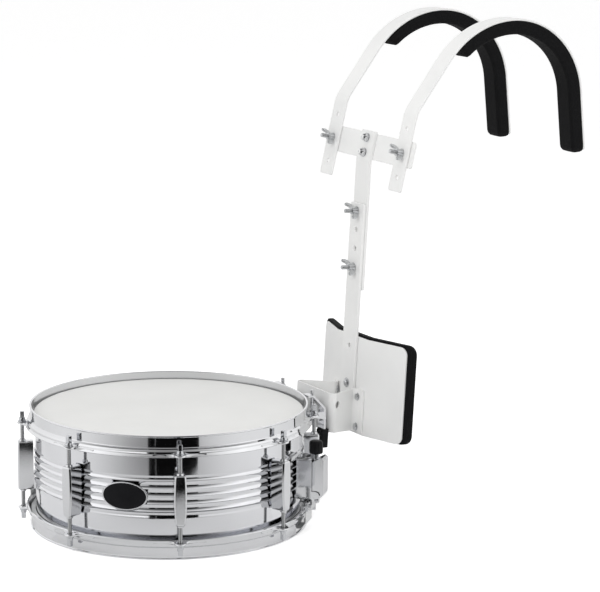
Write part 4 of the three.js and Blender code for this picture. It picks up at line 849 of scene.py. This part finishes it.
def knob_solid(steps=72):
    """A domed grip with rounded flutes, on the Z axis."""
    rings = []
    for share, height in KNOB_SIDE:
        depth = FLUTE_DEPTH * (1 if share > 0.9 else 0.3)
        ring = []
        for x, y in circle(KNOB_RADIUS * share, steps):
            groove = 1 - depth * max(0.0, math.cos(FLUTE_COUNT * math.atan2(y, x))) ** 2
            ring.append((x * groove, y * groove, height))
        rings.append(ring)
    return loft(rings)


def thread_solid(radius, low, high):
    outline, z = [(0, low)], low
    root = radius - THREAD_DEPTH
    while z < high - THREAD_PITCH:
        outline += [(root, z), (radius, z + THREAD_PITCH * 0.3), (radius, z + THREAD_PITCH * 0.55)]
        z += THREAD_PITCH
    return lathe([*outline, (root, z), (0, z + THREAD_PITCH * 0.3)], 20)


def build_strainer():
    slide, knob = "strainer_slide", "strainer_knob"
    dressed("strainer_housing", CHROME_CAST, ROOT, edge=0.9)
    dressed("strainer_lever", CHROME_CAST, "strainer_lever", edge=0.7)
    dressed("strainer_clamp", CHROME_CAST, slide, edge=0.6)
    place = station(STRAINER_AT) @ shift(0, KNOB_AT, 0)
    piece("knob_grip", knob_solid(), place, BLACK, knob, [knob], smooth=50)
    piece("knob_screw", thread_solid(*KNOB_SCREW), place, ZINC, knob, smooth=30)
    dressed("snare_strap_strainer", CLEAR, slide, edge=0.25, smooth=50, segments=2)
    dressed("snare_strap_butt", CLEAR, "snares", edge=0.25, smooth=50, segments=2)
    dressed("butt_plate", CHROME_CAST, ROOT, edge=0.8)
    dressed("snare_wires", WIRE, "snares", edge=0.0)


# Carrier: shoulder straps, as bent sheet from foot to tail

STRAP_WIDTH = 32
STRAP_SHEET = 3.0
STRAP_ROUND = 0.8
STRAP_HOLE_PITCH = 33
STRAP_FOOT = -52.0
# Two straight legs with a knee between them, then two arcs as (radius, degrees, steps) and a straight tail
LOWER_LEG, UPPER_LEG, TAIL = 110, 81, 84
KNEE_REACH = 9
KNEE_TURN = 23.6
KNEE_STEP = 3.0
KNEE_STEPS = 6
ARCS = ((129, 53.1, 24), (112, 84.4, 36))
# How far the strap's ends are rounded, and their insets as (share of that reach, inset)
FOOT_REACH, TAIL_REACH = 4, 5
FOOT_ROUNDS = ((0, 3.2), (0.25, 1.4), (0.6, 0.4), (1, 0))
TAIL_ROUNDS = ((1, 0), (0.5, 0.6), (0.15, 2.4), (0, 4.5))

# The pad under the arcs: its start, its sides' and faces' places on the strap, and its rounding
PAD_START = 16.0
PAD_STEP = 3.5
PAD_OVERHANG = 2
PAD_HALF = 16.8
PAD_LOW, PAD_HIGH = 1.9, 19.8
PAD_BACK_ROUND, PAD_ROUND = 1.2, 4.6
PAD_DRAWN = 0.7
PAD_CROWN = 0.7
# Over this distance from an end the pad narrows, rises off the strap and thins
PAD_END = 9.0
END_NARROW, END_LIFT, END_THIN = 6.0, 1.5, 7.5


def strap_line():
    """The strap's middle line from foot to tail: (y, z, angle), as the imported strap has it."""
    y, z, angle = STRAP_SHEET / 2, STRAP_FOOT, 0.0
    line = [(y, z, angle)]

    def run(length):
        nonlocal y, z
        y += math.sin(angle) * length
        z += math.cos(angle) * length
        line.append((y, z, angle))

    run(LOWER_LEG - KNEE_REACH)
    for _ in range(KNEE_STEPS):
        angle += math.radians(KNEE_TURN) / KNEE_STEPS
        run(KNEE_STEP)
    run(UPPER_LEG - KNEE_REACH)
    arch = len(line) - 1
    for radius, degrees, steps in ARCS:
        half = math.radians(degrees) / steps / 2
        for _ in range(steps):
            angle += half
            run(2 * radius * math.sin(half))
            angle += half
            line[-1] = (y, z, angle)
    run(TAIL)
    return line, arch


def along(place, distance):
    y, z, angle = place
    return (y + math.sin(angle) * distance, z + math.cos(angle) * distance, angle)


def across(place, x, depth):
    y, z, angle = place
    return (x, y + math.cos(angle) * depth, z - math.sin(angle) * depth)


def strap_solid():
    line, _ = strap_line()
    half = STRAP_WIDTH / 2
    section = rectangle(STRAP_WIDTH, STRAP_SHEET, STRAP_ROUND, steps=3)
    levels = [(along(line[0], FOOT_REACH * share), inset) for share, inset in FOOT_ROUNDS]
    levels += [(place, 0) for place in line[1:-1]]
    levels += [(along(line[-1], -TAIL_REACH * share), inset) for share, inset in TAIL_ROUNDS]
    return loft([[across(place, x * (1 - inset / half), depth) for x, depth in section]
                 for place, inset in levels])


def pad_section(half, low, high):
    """A foam section: flat on the strap, crowned and drawn in at its sides."""
    outline = fillet([(-half, low, PAD_BACK_ROUND), (half, low, PAD_BACK_ROUND), (half, high, PAD_ROUND),
                      (-half, high, PAD_ROUND)], 6)
    result = []
    for x, depth in outline:
        share = (depth - low) / (high - low)
        pull = PAD_DRAWN * math.sin(math.pi * min(max(share, 0), 1))
        crown = PAD_CROWN * (1 - (x / half) ** 2) * (share > 0.9)
        result.append((x - math.copysign(pull, x) * (abs(x) > half * 0.8), depth + crown))
    return result


def pad_places():
    """Places along the pad, each with its distance along the strap's arcs."""
    line, arch = strap_line()
    places, travelled = [], 0.0
    for (y0, z0, a0), (y1, z1, a1) in zip(line[arch:], line[arch + 1:]):
        length = math.hypot(y1 - y0, z1 - z0)
        steps = max(1, round(length / PAD_STEP))
        for share in [k / steps for k in range(steps)]:
            place = (y0 + (y1 - y0) * share, z0 + (z1 - z0) * share, a0 + (a1 - a0) * share)
            places.append((travelled + length * share, place))
        travelled += length
    places = [(distance, place) for distance, place in places if distance >= PAD_START]
    places.append((travelled, line[-1]))
    places.append((travelled + PAD_OVERHANG, along(line[-1], PAD_OVERHANG)))
    return places


def pad_solid():
    places = pad_places()
    first, last = places[0][0], places[-1][0]
    rings = []
    for distance, place in places:
        fall = quarter_round(1 - min(distance - first, last - distance, PAD_END) / PAD_END)
        low, high = PAD_LOW + END_LIFT * fall, PAD_HIGH - END_THIN * fall
        section = pad_section(PAD_HALF - END_NARROW * fall, low, high)
        rings.append([across(place, x, depth) for x, depth in section])
    return loft(rings)


# Carrier: wing nuts, bolts and screws, on the Z axis

HUB = [(0, 0.2), (6.2, 0.2), (6.5, 0.6), (6.4, 1.4), (5.6, 3.2), (4.9, 8.4), (4.5, 9.2), (3.4, 9.4), (0, 9.2)]
WING = [(0, 1.4), (6.2, 1.6, 1), (12.5, 3.6, 3), (15.6, 8.2, 3), (15.4, 13.6, 2.2), (11.6, 13.8, 2.2),
        (8.6, 10.4, 3), (4.6, 8.4, 1), (0, 8.0)]
WING_SHEET = 3.0
WING_EDGE = 1.1
WING_REST = -35
BOLT_RADIUS = 2.95
BOLT_TOP = 20
BOLT_HEAD = [(0, -3.9), (5.9, -3.9, 1.2), (5.9, -0.3, 0.3), (0, -0.3)]
BOLT_OVERLAP = 0.6
# What each kind of wing bolt grips, from the front face back to its head
STRAP_GRIP = 7.3
BAR_GRIP = 8.3
ACORN_DOME = [(0, 10.4), (2.2, 10.1), (3.8, 9.0), (4.8, 7.2), (5.3, 5.2), (5.5, 5.0), (5.5, 1.0), (0, 1.0)]
ACORN_WASHER = [(0, 0.9), (6.4, 0.9, 0.3), (6.4, 2.0, 0.3), (0, 2.0)]
ACORN_CORNER = 5.9
ACORN_NUT = 4.6
ACORN_SUNK = 0.9
# A pan head as shares of its (radius, height), and the roundings of its corners
PAN_HEAD = [(0, 0, 0), (1, 0, 0.2), (1, 0.35, 0.5), (0.9, 0.75, 0.5), (0.6, 1, 0.5), (0, 1.05, 0)]
WASHER_OVERLAP = 0.1
# Screws as (head's radius and height, washer's radius and height)
BAR_SCREW = (4.4, 3.0, 6.6, 1.0)
BRACKET_SCREW = (4.5, 2.6, 6.0, 0.9)


def hub_solid():
    blade = plate(fillet(WING, 5), WING_SHEET, WING_EDGE)
    blade = moved(blade, shift(0, WING_SHEET / 2, 0) @ turn(90, "X"))
    return joined(lathe(HUB, 40), blade, moved(blade, turn(180, "Z")))


def build_wing_fixing(kind, end, place, grip):
    """A wing nut turned to its resting angle, and its bolt."""
    label, node = f"{kind}_{end}_fixing", f"{kind}_wing_nut_{end}"
    front = place @ TO_FRONT
    piece(label + "_nut", hub_solid(), front @ turn(WING_REST, "Z"), ZINC, node, [node])
    head = lathe(fillet(placed(BOLT_HEAD, 0, -grip)), 6)
    bolt = joined(thread_solid(BOLT_RADIUS, -grip - BOLT_OVERLAP, BOLT_TOP), head)
    piece(label + "_bolt", bolt, front, ZINC, ROOT, [f"{kind}_bolt_{end}"], smooth=30)


def acorn_solid():
    hexagon = plate(circle(ACORN_CORNER, 6, start=30), ACORN_NUT, 0.5, 2)
    foot = ACORN_DOME[-1][1]
    return joined(lathe(ACORN_DOME), moved(hexagon, shift(0, 0, foot)), lathe(fillet(ACORN_WASHER, 2)))


def screw_solid(radius, height, washer_radius, washer_height, washer_steps=32):
    """A pan-headed screw on its washer."""
    washer = [(0, 0), (washer_radius, 0, 0.2), (washer_radius, washer_height, 0.3), (0, washer_height)]
    head = [(r * radius, z * height, own) for r, z, own in PAN_HEAD]
    lift = shift(0, 0, washer_height - WASHER_OVERLAP)
    return joined(lathe(fillet(washer, 2), washer_steps), moved(lathe(fillet(head), 28), lift))


# Carrier: bars and cross plate

LOWER_BAR = (35, 297)
LOWER_BAR_FOOT = 14
BAR_CORNER = 3
BELLY_HOLE = 113
BAR_SCREW_AT = 60.5
CROSS_PLATE = (226, 36)
CROSS_CORNER = 4
CROSS_SEAT = 3.3
ACORN_RISE = 10.25
ACORN_SEAT = -1.0
PLATE_EDGE = 0.8


def bar_holes():
    return [BAR_HOLE_TOP - BAR_HOLE_PITCH * i for i in range(4)]


def build_bars():
    width, height = LOWER_BAR
    holes = [circle(HOLE_RADIUS, 24, y=z) for z in (*bar_holes(), BELLY_HOLE)]
    outline = rectangle(width, height, BAR_CORNER, (0, LOWER_BAR_FOOT + height / 2))
    piece("lower_bar_finished", plate(outline, BAR_SHEET, PLATE_EDGE, holes=holes),
          CARRIER @ shift(0, BAR_FACE, 0) @ UPRIGHT, WHITE, ROOT, ["lower_bar"])
    place = CARRIER @ shift(0, BAR_FACE, BAR_SCREW_AT) @ TO_FRONT
    piece("bar_screw", screw_solid(*BAR_SCREW, 36), place, ZINC, ROOT)
    dressed("upper_bar", WHITE, ROOT, edge=0.7, smooth=35)
    places = ((-STRAP_SPREAD, 0), (STRAP_SPREAD, 0), (0, ACORN_RISE), (0, -ACORN_RISE))
    holes = [circle(HOLE_RADIUS, 24, x, z) for x, z in places]
    cross = plate(rectangle(*CROSS_PLATE, CROSS_CORNER), BAR_SHEET, PLATE_EDGE, holes=holes)
    piece("cross_plate_finished", cross, HEAD @ shift(0, CROSS_SEAT, 0) @ UPRIGHT, WHITE, ROOT,
          ["cross_plate"])
    acorn = moved(acorn_solid(), shift(0, 0, -ACORN_SUNK))
    for label, rise in (("upper", ACORN_RISE), ("lower", -ACORN_RISE)):
        place = HEAD @ shift(0, ACORN_SEAT, rise) @ TO_FRONT
        piece(f"acorn_nut_{label}", acorn, place, CHROME_CAST, ROOT)


# Carrier: bracket, folded from one sheet, with a face to the drum, two raked sides and flanges on the bar

BRACKET_SHEET = 2.2
BRACKET_LOW, BRACKET_HIGH = -2.5, 57.0
FACE_HALF, NECK_HALF, FLANGE_HALF = 53.5, 20.0, 42.0
BEND_RADIUS = 6.0
SIDE_BORE = 5.2
SIDE_BORE_AT = (13, 41)
CLAMP_HOLE = 2.9
CLAMP_HOLE_AT = (38, 21)
# The foot slopes: the face ends this much higher than the flanges, and the slope's end is behind them
FOOT_RISE = 6.0
FOOT_END = (2, -0.02)
FLANGE_SCREW_IN = 7
FLANGE_SCREWS = (("low", 4), ("high", 46))


def build_bracket():
    half_sheet = BRACKET_SHEET / 2
    rear, near = BAR_FACE + BAR_SHEET - half_sheet, half_sheet
    face = FACE_HALF - half_sheet
    path = [(face, near), (NECK_HALF, rear), (FLANGE_HALF, rear)]
    path = [(-x, y) for x, y in path][::-1] + path
    outline = sheet_outline(rounded_path(path, BEND_RADIUS, 8), BRACKET_SHEET)
    rake = math.atan2(face - NECK_HALF, rear - near)
    back, lift = SIDE_BORE_AT
    bore = moved(tunnel(circle(SIDE_BORE, 40), -PAST, PAST, "Z"), turn(90, "Y"))
    bolt = tunnel(circle(CLAMP_HOLE, 24), -PAST, PAST, "Y")
    bolt_x, bolt_z = CLAMP_HOLE_AT
    x, y = face - math.sin(rake) * back, near + math.cos(rake) * back
    angle = math.degrees(rake)
    cutters = [(bore, shift(sign * x, y, lift) @ turn(sign * angle, "Z")) for _, sign in SIDES]
    cutters += [(bolt, shift(sign * bolt_x, 0, bolt_z)) for _, sign in SIDES]
    end, drop = FOOT_END
    foot = [(-PAST, -PAST), (-PAST, FOOT_RISE * (1 + PAST / rear)), (rear + end, drop), (rear + end, -PAST)]
    reach = FACE_HALF + PAST
    wedge = loft([[(x, y, z) for y, z in foot] for x in (-reach, reach)])
    cutters.append((wedge, shift(0, 0, BRACKET_LOW)))
    solid = tunnel(outline, BRACKET_LOW, BRACKET_HIGH, "Z")
    piece("bracket_finished", solid, CARRIER, WHITE, ROOT, ["drum_bracket"], edge=0.55,
          cutters=cutters)
    screw = screw_solid(*BRACKET_SCREW)
    for side, sign in SIDES:
        for level, z in FLANGE_SCREWS:
            at = shift(sign * (NECK_HALF + FLANGE_SCREW_IN), rear - half_sheet, z)
            piece(f"bracket_screw_{side}_{level}", screw, CARRIER @ at @ TO_FRONT, ZINC, ROOT)


# Carrier: belly pad, on a plate with a flat middle and two raked wings

BELLY_FLAT = 41.0
BELLY_RAKE = 17.5
BELLY_HALF, BELLY_HALF_HEIGHT = 116.5, 68.4
BELLY_FOOT = -6.3
BELLY_CORNER = 14
# The pad's face on its plate is behind the bar by a gap, the plate's thickness and the glue
BELLY_SEAT = BAR_FACE + BAR_SHEET + 0.3 + 2.6 + 0.45
BELLY_THICK = 10.2
SIDE_THIN = 4.5
BELLY_BACK_ROUND, BELLY_ROUND = 0.8, 3.6


def belly_ring(x):
    """A section of the belly pad at a place across it."""
    fall = quarter_round(max(abs(x) - (BELLY_HALF - BELLY_CORNER), 0) / BELLY_CORNER)
    near = BELLY_SEAT + max(abs(x) - BELLY_FLAT, 0) * math.tan(math.radians(BELLY_RAKE))
    far = near + BELLY_THICK - SIDE_THIN * fall
    top = BELLY_HALF_HEIGHT - BELLY_CORNER * fall
    outline = fillet([(near, -top, BELLY_BACK_ROUND), (far, -top, BELLY_ROUND), (far, top, BELLY_ROUND),
                      (near, top, BELLY_BACK_ROUND)], 5)
    return [(x, y, BELLY_FOOT + BELLY_HALF_HEIGHT + z) for y, z in outline]


def build_belly():
    dressed("belly_plate", WHITE, ROOT, edge=0.7, smooth=35)
    straight = BELLY_HALF - BELLY_CORNER
    ends = [-straight - BELLY_CORNER * math.cos(math.pi / 2 * k / 8) for k in range(9)]
    xs = ends + [straight * (2 * k / 40 - 1) for k in range(1, 40)] + [-x for x in ends][::-1]
    solid = loft([belly_ring(x) for x in xs])
    pad = piece("belly_cushion", solid, CARRIER, FOAM, ROOT, ["belly_pad"], smooth=60)


def build_hooks():
    for side, _ in SIDES:
        dressed(f"hook_block_{side}", RUBBER, ROOT, edge=0.8)
        dressed(f"hook_claw_{side}", CHROME_CAST, ROOT, edge=0.6)


def build_shoulders():
    strap, pad = strap_solid(), pad_solid()
    hole = tunnel(circle(HOLE_RADIUS, 20), -PAST, PAST, "Y")
    cutters = [(hole, shift(0, 0, STRAP_HOLE_PITCH * i)) for i in (-1, 0, 1)]
    for side, sign in SIDES:
        body = f"shoulder_strap_{side}"
        place = HEAD @ shift(sign * STRAP_SPREAD, 0, 0)
        piece(f"strap_{side}_finished", strap, place, WHITE, body, [body], smooth=40,
              cutters=cutters)
        stands_for = [f"shoulder_pad_{side}"]
        cushion = piece(f"pad_{side}_cushion", pad, place, FOAM, body, stands_for, smooth=60)
        build_wing_fixing("strap", side, place, STRAP_GRIP)
    for label, lift in (("upper", bar_holes()[0]), ("lower", bar_holes()[-1])):
        build_wing_fixing("bar", label, CARRIER @ shift(0, BAR_FACE, lift), BAR_GRIP)


# Studio

# Painted dark reflections and painted shade: flags and a net that only reflections show. Their places are in
# metres from the drum's axis, towards the camera and to the right
PAINTED_REFLECTION_TONE = 0.004
FLAG_FOOT, FLAG_TOP = 0.008, 0.35
# Each floor flag from its left near corner round. A slit between the two flags stays open
LEFT_FLAG = ((0.33, -0.074), (1.32, -0.381), (1.305, -0.244), (0.334, -0.0498))
RIGHT_FLAG = ((0.334, -0.0478), (1.305, -0.239), (1.27, 0.525), (0.44, 0.155))
# A floor flag's soft edge runs along this slope, between these two distances
SOFT_SLOPE = -0.63
SOFT_START, SOFT_END = 0.425, 0.465
# The net paints soft shade on the floor, which only reflections show
NET_FOOT = 0.004
NET_CORNERS = ((0.1, -1.6), (2.6, -1.6), (2.6, 1.5), (0.1, 1.5))
NET_MIDDLE, NET_REACH = (0.70, -0.11), (0.28, 0.34)
NET_STRENGTH = 0.72
FLOOR_SIDE = 28.0
# Strengths: the room's own, what the camera sees besides, and what mirrors see of the floor and the ceiling
ROOM_LIGHT = 0.5
CAMERA_LIGHT = 0.5
FLOOR_MIRROR = 0.08
CEILING_LIGHT = 0.16
LAMP_AIM = (0, 0, 0.25)


def sheet(name, corners, mat):
    mesh = bpy.data.meshes.new(name)
    mesh.from_pydata(corners, [], [tuple(range(len(corners)))])
    mesh.materials.append(mat)
    return linked(name, mesh)


def flag(name, corners, mat):
    obj = sheet(name, corners, mat)
    obj.location = (0, AXIS_Y, 0)
    obj.rotation_euler = (0, 0, math.radians(VIEW_HEADING))
    # Only glossy rays see this sheet, so what it shows in metal is painted reflection
    obj.visible_camera = False
    obj.visible_diffuse = False
    obj.visible_shadow = False


def see_through(tree, shader, amount):
    """Mixes a shader with clear air, by how much of the shader shows."""
    clear = new_node(tree, "BsdfTransparent")
    mix = new_node(tree, "MixShader", {0: amount, 1: clear.outputs[0], 2: shader.outputs[0]})
    feed(tree, tree.nodes["Material Output"], {"Surface": mix.outputs[0]})


def painted_reflection_black(name, soft_edge=False):
    """Black for sheets that only reflections show, painting dark reflections. A soft edge thins it towards
    the drum, along a slanting line.
    """
    mat, tree, shader = material(name, (PAINTED_REFLECTION_TONE, PAINTED_REFLECTION_TONE, PAINTED_REFLECTION_TONE), 1.0, Specular_IOR_Level=0)
    if soft_edge:
        place = new_node(tree, "TexCoord").outputs["Object"]
        parts = new_node(tree, "SeparateXYZ", {"Vector": place}).outputs
        slant = math_node(tree, "MULTIPLY_ADD", parts["Y"], SOFT_SLOPE, parts["X"])
        see_through(tree, shader, spread(tree, slant, 0.0, 1.0, SOFT_START, SOFT_END))
    return mat


def painted_floor_shade_net(name):
    """A dark net that only reflections show: painted soft shade on the floor before the drum. It thins out
    softly from its middle.
    """
    mat, tree, shader = material(name, (0.02, 0.02, 0.022), 1.0, Specular_IOR_Level=0)
    place = new_node(tree, "TexCoord").outputs["Object"]
    scale = (1 / NET_REACH[0], 1 / NET_REACH[1], 1)
    start = (-NET_MIDDLE[0] * scale[0], -NET_MIDDLE[1] * scale[1], 0)
    mapping = new_node(tree, "Mapping", {"Vector": place, "Location": start, "Scale": scale})
    length = new_node(tree, "VectorMath", {0: mapping.outputs["Vector"]}, operation="LENGTH")
    square = math_node(tree, "POWER", length.outputs["Value"], 2)
    fall = math_node(tree, "POWER", math.e, math_node(tree, "MULTIPLY", square, -0.5))
    see_through(tree, shader, math_node(tree, "MULTIPLY", fall, NET_STRENGTH))
    return mat


def around(from_camera, distance, height):
    """A point round the drum, by its angle from the camera's side, to the right when positive."""
    a = math.radians(VIEW_HEADING + from_camera)
    return (distance * math.cos(a), AXIS_Y + distance * math.sin(a), height)


def seen_light(tree, mirror):
    """A strength made of the camera's share and of what metal and glass see."""
    path = new_node(tree, "LightPath").outputs
    mirrored = math_node(tree, "MAXIMUM", path["Is Glossy Ray"], path["Is Transmission Ray"])
    camera = math_node(tree, "MULTIPLY", path["Is Camera Ray"], CAMERA_LIGHT)
    return math_node(tree, "ADD", camera, math_node(tree, "MULTIPLY", mirrored, mirror))


def build_floor():
    mat, tree, shader = material("floor_paper", (0.93, 0.93, 0.93), 0.9, Emission_Color=(1, 1, 1, 1))
    feed(tree, shader, {"Normal": bump(tree, noise(tree, coordinates(tree), scale=300), 0.05, 0.0003),
                        "Emission Strength": seen_light(tree, FLOOR_MIRROR)})
    floor = sheet("floor", [(x, y, 0) for x, y in rectangle(FLOOR_SIDE, FLOOR_SIDE)], mat)


def build_world():
    """A white room. Metal sees it graded: bright walls to both sides, and a dimmer ceiling and front."""
    world = bpy.data.worlds.new("studio")
    bpy.context.scene.world = world
    world.use_nodes = True
    tree = world.node_tree
    place = new_node(tree, "TexCoord").outputs["Generated"]
    sockets = {"Vector": place, "Angle": math.radians(-VIEW_HEADING)}
    turned = new_node(tree, "VectorRotate", sockets, rotation_type="Z_AXIS")
    parts = new_node(tree, "SeparateXYZ", {"Vector": turned.outputs["Vector"]}).outputs
    walls = gray_ramp(tree, math_node(tree, "MULTIPLY_ADD", parts["X"], 0.5, 0.5),
                      (0.0, 1.0), (0.5, 1.15), (0.70, 1.3), (0.80, 1.0), (0.93, 0.16), (1.0, 0.10))
    ceiling = gray_ramp(tree, parts["Z"], (0.0, 0.0), (0.70, 0.0), (0.94, 1.0), (1.0, 1.0))
    over = math_node(tree, "MULTIPLY", ceiling, math_node(tree, "SUBTRACT", CEILING_LIGHT, walls))
    mirror = math_node(tree, "SUBTRACT", math_node(tree, "ADD", walls, over), ROOM_LIGHT)
    strength = math_node(tree, "ADD", seen_light(tree, mirror), ROOM_LIGHT)
    feed(tree, tree.nodes["Background"], {"Color": (1, 1, 1, 1), "Strength": strength})


def lamp(name, place, size, power):
    data = bpy.data.lights.new(name, "AREA")
    data.shape = "RECTANGLE"
    data.size, data.size_y = size
    data.energy = power
    obj = linked(name, data)
    obj.location = place
    obj.rotation_euler = (Vector(LAMP_AIM) - Vector(place)).to_track_quat("-Z", "Y").to_euler()
    obj.visible_camera = False
    obj.visible_glossy = False


def build_studio():
    build_floor()
    build_world()
    lamp("top_softbox", (0.2, -0.2, 2.6), size=(2.2, 2.2), power=16)
    lamp("key_softbox", around(-28, 3.0, 1.7), size=(1.3, 1.5), power=44)
    lamp("side_softbox", around(75, 2.8, 1.3), size=(1.2, 1.5), power=14)
    # Painted shade: a dark net on the floor that only metal and glass see
    flag("painted_floor_shade_net", [(*corner, NET_FOOT) for corner in NET_CORNERS], painted_floor_shade_net("net"))
    # Painted dark reflections: black flags on and beside the floor that only metal and glass see
    floor_reflection_black, upright_reflection_black = painted_reflection_black("painted_reflection_floor", soft_edge=True), painted_reflection_black("painted_reflection_upright")
    for side, corners in (("left", LEFT_FLAG), ("right", RIGHT_FLAG)):
        flag(f"floor_flag_{side}", [(*corner, FLAG_FOOT) for corner in corners], floor_reflection_black)
        left, right = corners[1:3]
        ends = ((left, FLAG_FOOT), (right, FLAG_FOOT), (right, FLAG_TOP), (left, FLAG_TOP))
        flag(f"upright_flag_{side}", [(*corner, height) for corner, height in ends], upright_reflection_black)


# Camera

# Fitted to the photograph: focal length and picture width in pixels, distance from the drum's axis and height
# in metres, and angles in degrees
FOCAL_PIXELS = 2549
PICTURE_PIXELS = 600
SENSOR = 36
CAMERA_DISTANCE, CAMERA_HEIGHT = 3.3, 0.96
CAMERA_YAW, CAMERA_PITCH, CAMERA_ROLL = 3.01, 11.22, 0.31


def build_camera():
    data = bpy.data.cameras.new("photo_camera")
    data.sensor_width = SENSOR
    data.sensor_fit = "HORIZONTAL"
    data.lens = FOCAL_PIXELS / PICTURE_PIXELS * SENSOR
    data.clip_end = 100
    camera = linked("photo_camera", data)
    stand = turn(VIEW_HEADING + 90, "Z")
    look = turn(-CAMERA_YAW, "Z") @ turn(90 - CAMERA_PITCH, "X") @ turn(CAMERA_ROLL, "Z")
    camera.matrix_world = shift(0, AXIS_Y, 0) @ stand @ shift(0, -CAMERA_DISTANCE, CAMERA_HEIGHT) @ look
    bpy.context.scene.camera = camera


bpy.context.scene.view_settings.view_transform = "Standard"
build_camera()
build_studio()
build_shell()
build_heads()
build_hoops()
build_lugs()
build_rods()
build_badge()
build_strainer()
build_bars()
build_bracket()
build_belly()
build_hooks()
build_shoulders()
